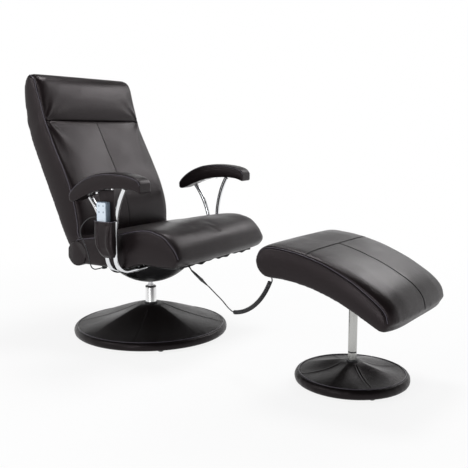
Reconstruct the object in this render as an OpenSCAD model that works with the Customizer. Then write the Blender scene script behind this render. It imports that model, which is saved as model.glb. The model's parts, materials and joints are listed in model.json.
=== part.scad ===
/* [Set] */
// Chair column, behind the middle of the set
column_back = 384; // [300:1:500]
// Stool column, ahead of the chair column
stool_ahead = 904; // [880:1:1100]
// Stool column, towards the sitter's right
stool_aside = 129; // [120:1:145]
// Turn of the stool's top about its column, degrees
stool_turn = 3.5; // [0:0.5:6]

/* [Round bases] */
// Diameter of the chair's base
chair_base_d = 601; // [540:1:680]
// Height of the leather at the chair's column
chair_cone_h = 117; // [100:1:135]
// Diameter of the stool's base
stool_base_d = 363; // [330:1:400]
// Height of the leather at the stool's column
stool_cone_h = 71; // [64:1:80]
// Thickness of the boards in the bases
base_board_t = 26; // [20:1:30]
// Thickness of the padded roll round a base's edge
rim_w = 13; // [10:1:18]
// Height of the glides under the bases
glide_h = 8; // [5:1:12]
// Diameter of the glides
glide_d = 24; // [18:1:30]
// Glides under one base
glide_count = 5; // [4:1:8]
// Thickness of the leather stretched over a base
tent_t = 3; // [2:0.5:4]
// Sag of that leather between two of the steel legs
tent_sag = 12; // [6:1:15]
// Width of the steel legs inside the bases
base_leg_w = 10; // [6:1:20]

/* [Chair column] */
// Outer diameter of the chrome column
column_d = 43; // [38:1:50]
// Height of the column's upper end
column_top = 180; // [165:1:184]
// Wall of the column
column_wall = 2.5; // [2:0.5:4]
// Diameter of the steel spindle that turns in it
spindle_d = 19; // [16:1:24]
// Length of the bush inside the column
bush_depth = 58; // [30:1:70]
// Thickness of the bush's flange
bush_flange_t = 5; // [3:1:8]
// Diameter of the spindle's shoulder
shoulder_d = 24; // [22:1:32]
// Height of the spindle's shoulder
shoulder_h = 7; // [4:1:10]
// Radial clearance of a turning fit
run_gap = 0.05; // [0.02:0.01:0.09]

/* [Swivel pan] */
// Radius of the pan's round underside
pan_r = 200; // [190:1:215]
// Height of the pan's lowest point above the floor
pan_low = 204; // [200:1:212]
// Sheet thickness of the pan
pan_t = 3; // [2:0.5:4]
// Diameter of the hub inside the pan
hub_d = 44; // [38:1:56]
// Height of the hub
hub_h = 26; // [20:1:34]
// Thickness of the bracket's steel plates
bracket_t = 4; // [3:1:6]
// Width of the windows in the pan's sides
window_w = 96; // [70:1:110]

/* [Seat] */
// Length of the seat cushion at its sides
seat_len = 460; // [440:1:480]
// Height of the side panels' highest point above the lower edge
seat_h = 146; // [135:1:160]
// Width of the seat between its side seams
seat_w = 580; // [566:1:596]
// Swell of each side panel beyond its seam
seat_bulge = 10; // [4:1:12]
// Crown of the seat between its side seams
seat_crown = 20; // [10:1:28]
// Height of the seat's lower edge above the floor
seat_low = 309; // [305:1:313]
// How far the seat's rear lip lies behind the column
seat_lip = 114; // [112:1:116]
// Thickness of the seat's plywood board
board_t = 12; // [9:1:15]
// Border of the cushion left round the board
board_border = 28; // [22:1:40]
// Rise of the board towards the front
board_step = 21; // [15:1:25]

/* [Back] */
// Height of the pivot above the floor
pivot_z = 348; // [346:1:350]
// How far the pivot lies behind the column
pivot_y = 105; // [104:1:107]
// Radius of the back's round lower end
nose_r = 44; // [42:1:45]
// Height of the back above its pivot
back_h = 651; // [600:1:720]
// How far the back reaches behind its pivot
back_reach = 271; // [255:1:290]
// Width of the back between its side seams
back_w = 536; // [500:1:545]
// Swell of each side panel beyond its seam
back_bulge = 5; // [3:1:10]
// Crown of the back between its side seams
back_crown = 22; // [14:1:28]
// Diameter of the pivot shaft
shaft_d = 12; // [10:1:14]
// Diameter of the steel tubes inside the back
frame_d = 16; // [14:1:18]
// Thickness of the hinge plates that carry the shaft
hinge_t = 5; // [4:1:7]
// Distance between the two hinge plates
hinge_gap = 360; // [320:1:365]
// Distance of the frame's side tubes outside the hinge plates
frame_out = 30; // [24:1:38]
// Gap round a hinge plate in the back
hinge_play = 1; // [0.6:0.1:1.5]
// Gap between the seat and the back's round end
nose_gap = 0.6; // [0.4:0.1:1]
// Diameter of the clamp knob
knob_d = 54; // [44:1:60]
// Thickness of the clamp knob
knob_t = 20; // [16:1:24]

/* [Arms] */
// Diameter of the chrome tubes
leg_d = 17; // [14:1:19]
// Distance of the tubes outside the seat's side seams
leg_out = 35; // [33:1:37]
// Bend of the tubes where they turn in under the seat
leg_bend_r = 62; // [50:1:70]
// Front tube, ahead of the column
front_leg_y = 105; // [102:1:112]
// Rear tube, ahead of the column
rear_leg_y = 68; // [60:1:72]
// Bow of the front tube
front_bow_r = 330; // [300:1:360]
// Bow of the rear tube
rear_bow_r = 299; // [285:1:320]
// Height at which the front tube starts to bow
front_bow_z = 430; // [415:1:440]
// Height of an armrest's highest point above the floor
pad_top = 654; // [648:1:664]
// Height from an armrest's lowest point to its highest
pad_h = 110; // [106:1:114]
// Length of an armrest
pad_len = 317; // [310:1:326]
// How far an armrest's rear end lies behind the column
pad_back = 73; // [70:1:78]
// Width of an armrest between its seams
pad_w = 62; // [58:1:62]
// How far the armrest's middle lies outside the tubes' middles
pad_out = 4.5; // [4:0.5:5]
// Swell of an armrest's sides
pad_bulge = 2.5; // [1:0.5:4]
// Crown of an armrest
pad_crown = 7; // [3:1:10]
// Thickness of the steel strap under an armrest
strap_t = 3; // [2:0.5:4]
// Width of that strap
strap_w = 26; // [22:1:27]

/* [Controller] */
// Width of the controller
remote_w = 44; // [40:1:46]
// Height of the controller
remote_h = 108; // [100:1:112]
// Thickness of the controller
remote_t = 23; // [20:0.5:24]
// Thickness of its face plate
face_t = 2; // [1.5:0.5:3]
// Height of its lower end above the floor
remote_low = 444; // [440:1:446]
// Middle of the controller, ahead of the column
remote_y = 75; // [72:1:80]
// Diameter of its buttons
button_d = 8; // [6:0.5:9]
// How far a button stands out of the face
button_rise = 1; // [0.8:0.1:1.4]
// Wall of the leather pocket
pocket_t = 2.2; // [1.5:0.1:3]
// Height of the pocket's mouth above the floor
pocket_top = 486; // [482:1:490]
// Height of the pocket's lower end above the floor
pocket_low = 358; // [354:1:362]
// Width of the pocket's mouth
pocket_w = 86; // [80:1:88]

/* [Cords] */
// Diameter of the cords
cord_d = 4; // [3.4:0.1:4.4]
// Outer diameter of the curly cord
curly_d = 14.6; // [13:0.1:16]
// Radius of the curly cord's sweep up to the stool
curly_sweep_r = 267; // [267:1:267]
// Curls in the curly cord
curl_count = 52; // [30:1:52]
// Length of each half of the inline connector
plug_len = 40; // [36:1:41]
// Diameter of the inline connector
plug_d = 11; // [9:0.5:13]

/* [Stool] */
// Length of the stool cushion at its sides
stool_len = 427; // [410:1:440]
// Height of the stool's side panels from lowest to highest point
stool_h = 205; // [195:1:215]
// Width of the stool between its side seams
stool_w = 426; // [410:1:440]
// Swell of each side panel beyond its seam
stool_bulge = 10; // [3:1:10]
// Crown of the stool between its side seams
stool_crown = 30; // [20:1:34]
// Height of the side panels' lowest point above the floor
stool_low = 244; // [240:1:250]
// How far the stool's rear end lies behind its column
stool_back = 228; // [220:1:236]
// Outer diameter of the stool's column
stool_column_d = 28; // [25:1:32]
// Height at which the stool's column turns
stool_joint_z = 100; // [92:1:110]
// Diameter of the pin inside the stool's column
stool_pin_d = 20; // [16:1:22]
// Thickness of the nylon washer in the stool's column
washer_t = 3; // [2:0.5:5]

/* [Hidden] */

// Smoothness of round pieces, overrun of cuts, and the gap round what foam holds
$fn = 64;
over = 1;
soft_gap = 0.3;

// Finishes as the photograph shows them
leather = [0.16, 0.14, 0.15];
chrome = [0.85, 0.86, 0.88];
black_steel = [0.06, 0.06, 0.07];
black_plastic = [0.09, 0.09, 0.10];
plywood = [0.72, 0.56, 0.38];
pale_plastic = [0.74, 0.80, 0.86];
blue_plastic = [0.36, 0.45, 0.54];

// Bases: ridges lie over the four steel legs, seen from above
chair_ridge = 76;
stool_ridge = 88;
leg_count = 4;
tent_sectors = 56;
tent_rings = 6;
chair_hub_r = 44;
stool_hub_r = 30;
chair_ring_r = chair_base_d / 2;
stool_ring_r = stool_base_d / 2;
base_top = glide_h + base_board_t;
collar_w = 4;
collar_h = 6;
rim_round = 10;
glide_inset = 30;
glide_taper = 2;
hub_plate_t = 6;
first_glide = 225;

// Column, spindle and pan
bush_r = column_d / 2 - column_wall;
lip_inset = 0.5;
bush_lip_r = column_d / 2 - lip_inset;
bush_top = column_top + bush_flange_t;
spindle_low = column_top - bush_depth - hub_h;
shoulder_top = bush_top + shoulder_h;
pan_centre = pan_low + pan_r;
pan_floor = pan_low + pan_t;
flange_w = 190;
flange_l = 110;
flange_margin = 14;
flange_low = seat_low + over - bracket_t;
web_gap = 56;
pan_rear_cut = 12;
bracket_foot_w = 52;
bracket_head_w = 150;
bolt_r = 4;
bolt_head_r = 7;
bolt_head_h = 5;
bolt_len = 9;

// Seat: each row is top y, top z, lower y, lower z, then the crown's y and z, as shares
seat_rows_share = [
    [0, 0.62, 0, 0, -1.1, 0.6],
    [0.12, 0.67, 0.12, 0, -0.4, 0.6],
    [0.235, 0.725, 0.235, 0, 0, 0.65],
    [0.37, 0.775, 0.37, 0, 0, 0.65],
    [0.5, 0.89, 0.5, 0.02, 0, 0.5],
    [0.575, 0.945, 0.575, 0.1, 0, 0.4],
    [0.64, 0.985, 0.64, 0.15, 0, 0.3],
    [0.73, 1, 0.73, 0.15, 0, 0.3],
    [0.8, 0.95, 0.8, 0.145, -0.1, 0.65],
    [0.875, 0.86, 0.865, 0.145, -0.45, 0.85],
    [0.925, 0.725, 0.925, 0.155, -0.75, 0.8],
    [0.965, 0.595, 0.96, 0.185, -0.75, 0.45],
    [0.99, 0.47, 0.985, 0.265, -0.5, 0.2],
    [1, 0.4, 1, 0.33, -0.4, 0]
];
board_low = seat_low + over;
board_rear = 56;
board_front = seat_len - seat_lip - board_border;
step_rear = 118;
step_front = 178;
motor_r = 27;
motor_h = 20;
seat_motor_x = 110;
seat_motor_y = -60;

// Back: rows as for the seat, measured from the pivot; the round end comes first
nose_angles = [20, 45, 70, 90];
nose_rear_end = 62;
nose_rear_share = [0, 0, 0.17, 0.2];
back_rows_share = [
    [-0.14, 0.034, 0.247, 0.031, 0, 0],
    [-0.081, 0.058, 0.295, 0.065, 0, 0],
    [-0.028, 0.067, 0.325, 0.089, 0, 0],
    [0.05, 0.086, 0.354, 0.114, -0.75, 0.05],
    [0.07, 0.126, 0.395, 0.151, -1.35, 0.1],
    [0.077, 0.165, 0.43, 0.188, -1.5, 0.15],
    [0.103, 0.234, 0.498, 0.252, -1.6, 0.2],
    [0.144, 0.303, 0.565, 0.314, -1.4, 0.2],
    [0.192, 0.365, 0.63, 0.375, -1.15, 0.2],
    [0.262, 0.434, 0.694, 0.434, -0.8, 0.2],
    [0.336, 0.498, 0.753, 0.489, -0.7, 0.2],
    [0.41, 0.557, 0.812, 0.546, -0.65, 0.2],
    [0.476, 0.611, 0.867, 0.6, -0.65, 0.2],
    [0.539, 0.665, 0.908, 0.652, -0.65, 0.2],
    [0.583, 0.708, 0.934, 0.695, -0.5, 0.15],
    [0.609, 0.735, 0.948, 0.72, -0.35, 0.1]
];
head_rows_share = [
    [0.609, 0.735, 0.948, 0.72, -0.35, 0.1],
    [0.638, 0.772, 0.967, 0.754, -0.95, 0.1],
    [0.683, 0.832, 0.985, 0.806, -1.15, 0.15],
    [0.731, 0.892, 1, 0.865, -1.5, 0.2],
    [0.764, 0.942, 1, 0.911, -1.55, 0.2],
    [0.8, 0.977, 0.985, 0.949, -1.3, 0.25],
    [0.856, 0.997, 0.948, 0.98, -0.75, 0.25],
    [0.886, 1, 0.919, 0.994, -0.1, 0.15]
];
shaft_r = shaft_d / 2;
frame_lean = atan(back_reach * 0.85 / (back_h * 0.894));
frame_len = back_h * 0.945;
rail_share = [0.28, 0.6, 0.97];
rail_d = frame_d * 0.8;
sleeve_r = frame_d / 2 + 2;
sleeve_w = 30;
frame_w = hinge_gap + 2 * frame_out;
eye_r = 16;
hinge_clear = 3;
hinge_reach = 20;
hinge_slot_from = 165;
hinge_slot_to = 312;
hinge_foot_h = 9;
hinge_foot_l = 80;
hinge_flange_w = 22;
hinge_flange_t = 4;
back_motor_share = [0.22, 0.58];
back_motor_x = 75;

// Arms: rows are y, top z and lower z, as shares of the pad's length and height
pad_rows_share = [
    [0, 0.2, 0.08],
    [0.01, 0.27, 0.045],
    [0.035, 0.355, 0.02],
    [0.104, 0.527, 0.075],
    [0.205, 0.7, 0.2],
    [0.325, 0.836, 0.336],
    [0.426, 0.9, 0.418],
    [0.546, 0.936, 0.482],
    [0.672, 0.936, 0.51],
    [0.798, 0.905, 0.51],
    [0.893, 0.855, 0.477],
    [0.956, 0.79, 0.427],
    [0.987, 0.71, 0.39],
    [1, 0.645, 0.436]
];
strap_first = 3;
strap_last = 9;
pad_low = pad_top - pad_h;
leg_r = leg_d / 2;
leg_x = seat_w / 2 + leg_out;
pad_x = leg_x + pad_out;
plate_t = 3;
run_z = board_low - plate_t - leg_r;
knee_z = run_z + leg_bend_r;
front_bow = 34;
rear_bow = 48;
rear_straight = 8;
plate_inset = 16;
plate_w = 69;
plate_out = seat_w / 2 - board_border - plate_inset;
plate_in = plate_out - plate_w;
front_run_over = 17;
rear_run_over = 5;
front_run_end = plate_in - front_run_over;
rear_run_end = plate_in - rear_run_over;
plate_margin = 20;
screw_r = 3;
screw_head_r = 4;
screw_head_h = 2.5;
screw_drop = 1.9;
screw_depth = 12;

// Controller and pocket
pocket_back = leg_x + leg_r + soft_gap;
remote_in = pocket_back + pocket_t + soft_gap;
remote_out = remote_in + remote_t;
pocket_out = remote_out + soft_gap + pocket_t;
pocket_rear = 39;
pouch_rise = 8;
remote_round = 4;
face_border = 2.5;
button_r = button_d / 2;
button_stem = 3;
button_gap = 0.1;
button_stroke = 0.8;
button_places_share = [[0.28, 0.88], [0.72, 0.88], [0.28, 0.68], [0.72, 0.68]];

// Cords: points of their routes, measured from the chair's column
cord_sides = 8;
controller_cord_route = [
    [-349, -52.7, 498], [-349, -46, 498], [-348, -30, 497], [-345, -8, 491], [-342, 14, 479],
    [-340, 34, 460], [-339, 43, 440], [-338, 40, 419], [-338, 28, 398], [-338, 16, 376],
    [-337, 9, 352], [-334, 7, 330], [-325, 8, 312], [-308, 10, 302], [-290, 11, 300],
    [-272, 11, 300], [-262, 11, 300]
];
pigtail_route = [[-165, -293, 321], [-165, -299, 320], [-166, -306, 316], [-170, -315, 308.5]];
lead_route = [
    [-185, -389, 268], [-188, -404, 260], [-192, -424, 247.5], [-200, -462, 224.5],
    [-205, -482, 210], [-208, -493, 201.5], [-210, -499, 197], [-212, -505, 194]
];
curly_start = [-212, -505, 194];
curly_start_angle = 6;
curly_end_angle = 66;
curly_heading = [-0.397, -0.918, 0];
curl_rings = 8;
curl_sides = 6;
gland_r = 5;
gland_len = 8;
gland_rise = 4.6;
gland_room = 0.5;
box_size = [100, 70, 18];
box_at = [-165, -250, 312.7];

// Stool: rows as for the seat, measured from the stool's column
stool_rows_share = [
    [0.004, 0.825, 0.004, 0.705, 0.3, 0],
    [0.026, 0.915, 0.026, 0.615, 0.3, 0.15],
    [0.065, 0.975, 0.065, 0.555, 0.2, 0.25],
    [0.112, 1, 0.112, 0.535, 0, 0.3],
    [0.206, 0.99, 0.206, 0.53, 0, 0.3],
    [0.31, 0.962, 0.31, 0.512, 0, 0.36],
    [0.417, 0.912, 0.417, 0.469, 0, 0.45],
    [0.534, 0.84, 0.534, 0.405, 0, 0.55],
    [0.65, 0.74, 0.65, 0.315, -0.05, 0.7],
    [0.756, 0.63, 0.756, 0.215, -0.15, 0.85],
    [0.85, 0.505, 0.85, 0.11, -0.4, 0.95],
    [0.92, 0.4, 0.92, 0.035, -0.75, 0.9],
    [0.967, 0.32, 0.962, 0, -1, 0.6],
    [0.99, 0.26, 0.985, 0.005, -1.15, 0.3],
    [1, 0.2, 1, 0.04, -1.2, 0]
];
stool_arc_r = 700;
stool_arc_y = 191;
stool_arc_top = 354;
stool_arc_z = stool_arc_top - stool_arc_r;
stool_column_drop = 26;
stool_board_rear = 158;
stool_board_front = 160;
stool_post_low = 20;
stool_socket_len = 46;
stool_web_gap = 44;
stool_web_l = 120;
stool_collar_d = 36;
stool_head_z = stool_arc_z + sqrt(stool_arc_r * stool_arc_r - stool_arc_y * stool_arc_y);
stool_column_low = stool_joint_z + washer_t;
stool_column_top = stool_head_z - stool_column_drop;

function unit(v) = v / norm(v);
function arc_points(r, from, to, steps, at = [0, 0]) =
    [for (i = [0:steps]) let (a = from + (to - from) * i / steps) at + r * [cos(a), sin(a)]];
function slot_points(w, h, r, steps = 6) = concat(
    arc_points(r, 0, 90, steps, [w / 2 - r, h / 2 - r]),
    arc_points(r, 90, 180, steps, [r - w / 2, h / 2 - r]),
    arc_points(r, 180, 270, steps, [r - w / 2, r - h / 2]),
    arc_points(r, 270, 360, steps, [w / 2 - r, r - h / 2]));

// Places of the chair and the stool, and planes to draw outlines in
module at_chair() translate([0, column_back, 0]) children();
module at_stool() translate([-stool_aside, column_back - stool_ahead, 0]) children();
module at_stool_top() at_stool() rotate([0, 0, -stool_turn]) children();
module in_yz() rotate([90, 0, 90]) children();
module in_xz() rotate([90, 0, 0]) children();
module both_sides() {
    children();
    mirror([1, 0, 0]) children();
}

// A skin over rings of points, closed at both ends by a fan
module loft(rings) {
    n = len(rings);
    m = len(rings[0]);
    function middle(ring) = [for (k = [0:2]) let (s = [for (p = ring) p[k]]) s * [for (p = ring) 1] / m];
    points = concat([for (ring = rings) for (p = ring) p], [middle(rings[0]), middle(rings[n - 1])]);
    sides = [for (i = [0:n - 2]) for (j = [0:m - 1]) let (k = (j + 1) % m)
        each [[i * m + j, i * m + k, (i + 1) * m + k], [i * m + j, (i + 1) * m + k, (i + 1) * m + j]]];
    first = [for (j = [0:m - 1]) [(j + 1) % m, j, n * m]];
    last = [for (j = [0:m - 1]) [(n - 1) * m + j, (n - 1) * m + (j + 1) % m, n * m + 1]];
    polyhedron(points, concat(sides, first, last), 4);
}

// A padded panel's cross-section from its two edge points: crowned on top, swelling at the sides
top_shares = [-1, -0.985, -0.945, -0.86, -0.6, -0.2, 0.2, 0.6, 0.86, 0.945, 0.985, 1];
firm_puff = [0, 0.5, 0.78, 0.93, 0.98, 1, 1, 0.98, 0.93, 0.78, 0.5, 0];
soft_puff = [0, 0.3, 0.55, 0.78, 0.95, 1, 1, 0.95, 0.78, 0.55, 0.3, 0];
side_shares = [0.15, 0.4, 0.65, 0.88];
low_shares = [1, 0.9, 0.5, 0, -0.5, -0.9, -1];
low_puff = [0, 0.65, 0.95, 1, 0.95, 0.65, 0];
function pillow_ring(top, low, crown, w, bulge, under, puff = firm_puff) = concat(
    [for (i = [0:11]) let (s = top_shares[i], p = top + puff[i] * crown) [s * w / 2, p[0], p[1]]],
    [for (s = side_shares) let (p = top + (low - top) * s) [w / 2 + bulge * sin(180 * s), p[0], p[1]]],
    [for (i = [0:6]) let (p = low + low_puff[i] * under * [crown[0], 0])
        [low_shares[i] * w / 2, p[0], p[1]]],
    [for (i = [0:3]) let (s = side_shares[3 - i], p = top + (low - top) * s)
        [-w / 2 - bulge * sin(180 * s), p[0], p[1]]]);

// A cord: points between the route's own, and a round skin along them
function between(a, b, c, d, t) = 0.5 * (2 * b + (c - a) * t + (2 * a - 5 * b + 4 * c - d) * t * t
    + (3 * b - a - 3 * c + d) * t * t * t);
function smooth(p, steps) = let (n = len(p) - 1)
    concat([for (i = [0:n - 1]) for (k = [0:steps - 1])
        between(p[max(i - 1, 0)], p[i], p[i + 1], p[min(i + 2, n)], k / steps)], [p[n]]);
cord_up = unit([-1, 1, 1]);
function cord_way(p, i) = unit(p[min(i + 1, len(p) - 1)] - p[max(i - 1, 0)]);
function cord_ring(at, way, r) = let (a = unit(cross(way, cord_up)), b = cross(way, a))
    [for (j = [0:cord_sides - 1]) let (t = 360 * j / cord_sides) at + r * (a * cos(t) + b * sin(t))];
module cord(route, steps, first, last) {
    p = smooth(route, steps);
    n = len(p) - 1;
    loft([for (i = [0:n]) cord_ring(p[i], i == 0 ? first : i == n ? last : cord_way(p, i), cord_d / 2)]);
}

// Round bases
module base_board(ring_r, hole_r) color(plywood)
    difference() {
        translate([0, 0, glide_h]) cylinder(h = base_board_t, r = ring_r - rim_w);
        translate([0, 0, glide_h - over]) cylinder(h = base_board_t + 2 * over, r = hole_r);
    }

module base_rim(ring_r) color(leather)
    translate([0, 0, glide_h]) rotate_extrude($fn = 128)
        polygon(concat(
            [[ring_r - rim_w, 0]],
            arc_points(rim_round, -80, 80, 10, [ring_r - rim_round, base_board_t / 2 + over]),
            [[ring_r - rim_w, base_board_t + tent_t]]));

function base_slope(r, hub_r, ring_r) = (r - hub_r) / (ring_r - rim_w - hub_r);
function tent_z(r, a, hub_r, ring_r, cone_h) = r <= hub_r ? cone_h
    : let (t = base_slope(r, hub_r, ring_r))
        cone_h + (base_top + tent_t - cone_h) * pow(t, 1.15)
            - tent_sag * sin(180 * pow(t, 0.8)) * abs(sin(leg_count / 2 * a));

module base_cover(ring_r, hub_r, hole_r, cone_h, turn) color(leather) rotate([0, 0, turn]) {
    slope_w = ring_r - rim_w - soft_gap - hub_r;
    rims = concat([hole_r], [for (i = [0:tent_rings]) hub_r + slope_w * i / tent_rings]);
    n = len(rims);
    rings = [for (j = [0:tent_sectors - 1]) let (a = 360 * j / tent_sectors)
        concat([for (r = rims) [r * cos(a), r * sin(a), tent_z(r, a, hub_r, ring_r, cone_h)]],
            [for (i = [n - 1:-1:0]) let (r = rims[i])
                [r * cos(a), r * sin(a), tent_z(r, a, hub_r, ring_r, cone_h) - tent_t]])];
    m = 2 * n;
    points = [for (ring = rings) for (p = ring) p];
    faces = [for (i = [0:tent_sectors - 1]) let (k = (i + 1) % tent_sectors)
        for (j = [0:m - 1]) let (l = (j + 1) % m)
            each [[i * m + j, i * m + l, k * m + l], [i * m + j, k * m + l, k * m + j]]];
    polyhedron(points, faces, 4);
}

// Steel legs under the ridges, with a hub round the column
module base_legs(ring_r, hub_r, hole_r, cone_h, turn) color(black_steel)
    rotate([0, 0, turn - 180 / leg_count - 90]) difference() {
        leg_top = cone_h - tent_t - soft_gap;
        foot = tent_t + soft_gap;
        union() {
            translate([0, 0, base_top]) cylinder(h = leg_top - base_top, r = hole_r + collar_w);
            translate([0, 0, leg_top - hub_plate_t]) cylinder(h = hub_plate_t, r = hub_r - over);
            for (i = [0:leg_count - 1]) rotate([0, 0, 360 * (i + 0.5) / leg_count]) in_yz()
                translate([0, 0, -base_leg_w / 2]) linear_extrude(base_leg_w)
                    polygon([[hole_r + over, base_top], [hole_r + over, leg_top - over / 2],
                        [hub_r - collar_w, leg_top - over / 2],
                        [ring_r - rim_w - foot, base_top + over / 2], [ring_r - rim_w - foot, base_top]]);
        }
        translate([0, 0, base_top - over]) cylinder(h = leg_top, r = hole_r);
    }

module glides(ring_r) color(black_plastic)
    for (i = [0:glide_count - 1]) rotate([0, 0, first_glide + 360 * i / glide_count])
        translate([ring_r - glide_inset, 0, 0])
            cylinder(h = glide_h, r1 = glide_d / 2 - glide_taper, r2 = glide_d / 2);

module collar(r, z) color(black_plastic) translate([0, 0, z]) rotate_extrude()
    polygon([[r, -tent_t - soft_gap], [r + collar_w - over, -tent_t - soft_gap],
        [r + collar_w - over, 0], [r + collar_w, 0], [r + collar_w, collar_h - over],
        [r + collar_w - over, collar_h], [r, collar_h]]);

chair_hole_r = column_d / 2 + collar_w;
stool_hole_r = stool_column_d / 2 + collar_w;
module chair_base_board() at_chair() base_board(chair_ring_r, column_d / 2);
module chair_base_legs() at_chair()
    base_legs(chair_ring_r, chair_hub_r, column_d / 2 + soft_gap, chair_cone_h, chair_ridge);
module chair_base_cover() at_chair()
    base_cover(chair_ring_r, chair_hub_r, chair_hole_r, chair_cone_h, chair_ridge);
module chair_base_rim() at_chair() base_rim(chair_ring_r);
module chair_column_collar() at_chair() collar(column_d / 2, chair_cone_h);
module stool_base_board() at_stool() base_board(stool_ring_r, stool_column_d / 2);
module stool_base_legs() at_stool()
    base_legs(stool_ring_r, stool_hub_r, stool_column_d / 2 + soft_gap, stool_cone_h, stool_ridge);
module stool_base_cover() at_stool()
    base_cover(stool_ring_r, stool_hub_r, stool_hole_r, stool_cone_h, stool_ridge);
module stool_base_rim() at_stool() base_rim(stool_ring_r);
module stool_column_collar() at_stool() collar(stool_column_d / 2, stool_cone_h);
module base_glides() {
    at_chair() glides(chair_ring_r);
    at_stool() glides(stool_ring_r);
}

// Chair column: a chrome tube, its bush, and the spindle that turns in it
module chair_column() color(chrome) at_chair() difference() {
    translate([0, 0, glide_h]) cylinder(h = column_top - glide_h, r = column_d / 2);
    translate([0, 0, glide_h - over]) cylinder(h = column_top, r = bush_r);
}

module chair_column_bush() color(black_plastic) at_chair() difference() {
    union() {
        translate([0, 0, column_top - bush_depth]) cylinder(h = bush_depth, r = bush_r);
        translate([0, 0, column_top]) cylinder(h = bush_flange_t, r = bush_lip_r);
    }
    translate([0, 0, column_top - bush_depth - over])
        cylinder(h = bush_depth + bush_flange_t + 2 * over, r = spindle_d / 2 + run_gap);
}

module seat_spindle() color(chrome) at_chair() {
    translate([0, 0, spindle_low]) cylinder(h = pan_floor + hub_h - spindle_low, r = spindle_d / 2);
    translate([0, 0, bush_top]) cylinder(h = shoulder_h, r = shoulder_d / 2);
}

// Swivel pan: a round steel bowl hung under the seat's board, with a window in each side
module swivel_pan() color(black_steel) at_chair() difference() {
    drop = pan_centre - board_low;
    out_a = -asin(drop / pan_r);
    in_r = pan_r - pan_t;
    in_a = -asin(drop / in_r);
    hole_a = -acos(spindle_d / 2 / pan_r);
    hole_in_a = -acos(spindle_d / 2 / in_r);
    translate([0, 0, pan_centre]) rotate_extrude($fn = 96)
        polygon(concat(arc_points(pan_r, hole_a, out_a, 24), arc_points(in_r, in_a, hole_in_a, 24)));
    translate([-pan_r, 0, 0]) in_yz() linear_extrude(2 * pan_r)
        polygon([[-window_w / 2, board_low - 2 * bracket_t], [window_w / 2, board_low - 2 * bracket_t],
            [window_w / 4, pan_floor + hub_h], [-window_w / 4, pan_floor + hub_h]]);
    translate([-pan_r, board_rear, board_low - pan_rear_cut]) cube([2 * pan_r, pan_r, pan_r]);
}

// Welded bracket: hub, two webs and a flange bolted to the board
web_low = pan_floor + 2 * pan_t;
module at_flange_corners(z) for (x = [-1, 1], y = [-1, 1])
    translate([x * (flange_w / 2 - flange_margin), y * (flange_l / 2 - flange_margin), z]) children();
module swivel_bracket() color(black_steel) at_chair() {
    difference() {
        union() {
            translate([0, 0, pan_floor + pan_t]) cylinder(h = hub_h, r = hub_d / 2);
            translate([-flange_w / 2, -flange_l / 2, flange_low]) cube([flange_w, flange_l, bracket_t]);
            for (s = [-1, 1]) translate([0, s * web_gap / 2 + bracket_t / 2, 0]) in_xz()
                linear_extrude(bracket_t) polygon([
                    [-bracket_foot_w / 2, web_low], [bracket_foot_w / 2, web_low],
                    [bracket_head_w / 2, flange_low], [-bracket_head_w / 2, flange_low]]);
            for (s = [-1, 1]) translate([s * hub_d / 4 - bracket_t / 2, -web_gap / 2, web_low])
                cube([bracket_t, web_gap, hub_h - pan_t]);
        }
        translate([0, 0, pan_floor]) cylinder(h = hub_h + 2 * over + pan_t, r = spindle_d / 2);
        at_flange_corners(flange_low - over) cylinder(h = bracket_t + 2 * over, r = bolt_r);
    }
}

module bolt() {
    cylinder(h = bolt_len, r = bolt_r);
    translate([0, 0, -bolt_head_h]) cylinder(h = bolt_head_h, r = bolt_head_r, $fn = 6);
}
module at_leg_bolts(z) both_sides() for (x = [plate_in + plate_margin, plate_out - plate_margin],
    y = [-front_leg_y - plate_margin, -rear_leg_y + plate_margin]) translate([x, y, z]) children();
module underseat_bolts() color(chrome) at_chair() {
    at_flange_corners(flange_low) bolt();
    at_leg_bolts(board_low - plate_t) bolt();
}

// Seat: a stepped plywood board under one upholstered cushion
board_outline = [[board_rear, board_low], [-step_rear, board_low], [-step_front, board_low + board_step],
    [-board_front, board_low + board_step], [-board_front, board_low + board_step + board_t],
    [-step_front, board_low + board_step + board_t], [-step_rear, board_low + board_t],
    [board_rear, board_low + board_t]];
recess_outline = [
    [board_rear + soft_gap, seat_low - board_t], [-board_front - soft_gap, seat_low - board_t],
    [-board_front - soft_gap, board_low + board_step + board_t + soft_gap],
    [-step_front, board_low + board_step + board_t + soft_gap],
    [-step_rear, board_low + board_t + soft_gap], [board_rear + soft_gap, board_low + board_t + soft_gap]];
module across(points, w) translate([-w / 2, 0, 0]) in_yz() linear_extrude(w) polygon(points);

module seat_board() color(plywood) at_chair() difference() {
    across(board_outline, seat_w - 2 * board_border);
    at_flange_corners(board_low - over) cylinder(h = bolt_len, r = bolt_r);
    at_leg_bolts(board_low - over) cylinder(h = bolt_len, r = bolt_r);
}

function seat_place(y, z) = [seat_lip - y * seat_len, seat_low + z * seat_h];
module pivot_bar(w, r) translate([-w / 2, pivot_y, pivot_z]) rotate([0, 90, 0]) cylinder(h = w, r = r);
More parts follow.
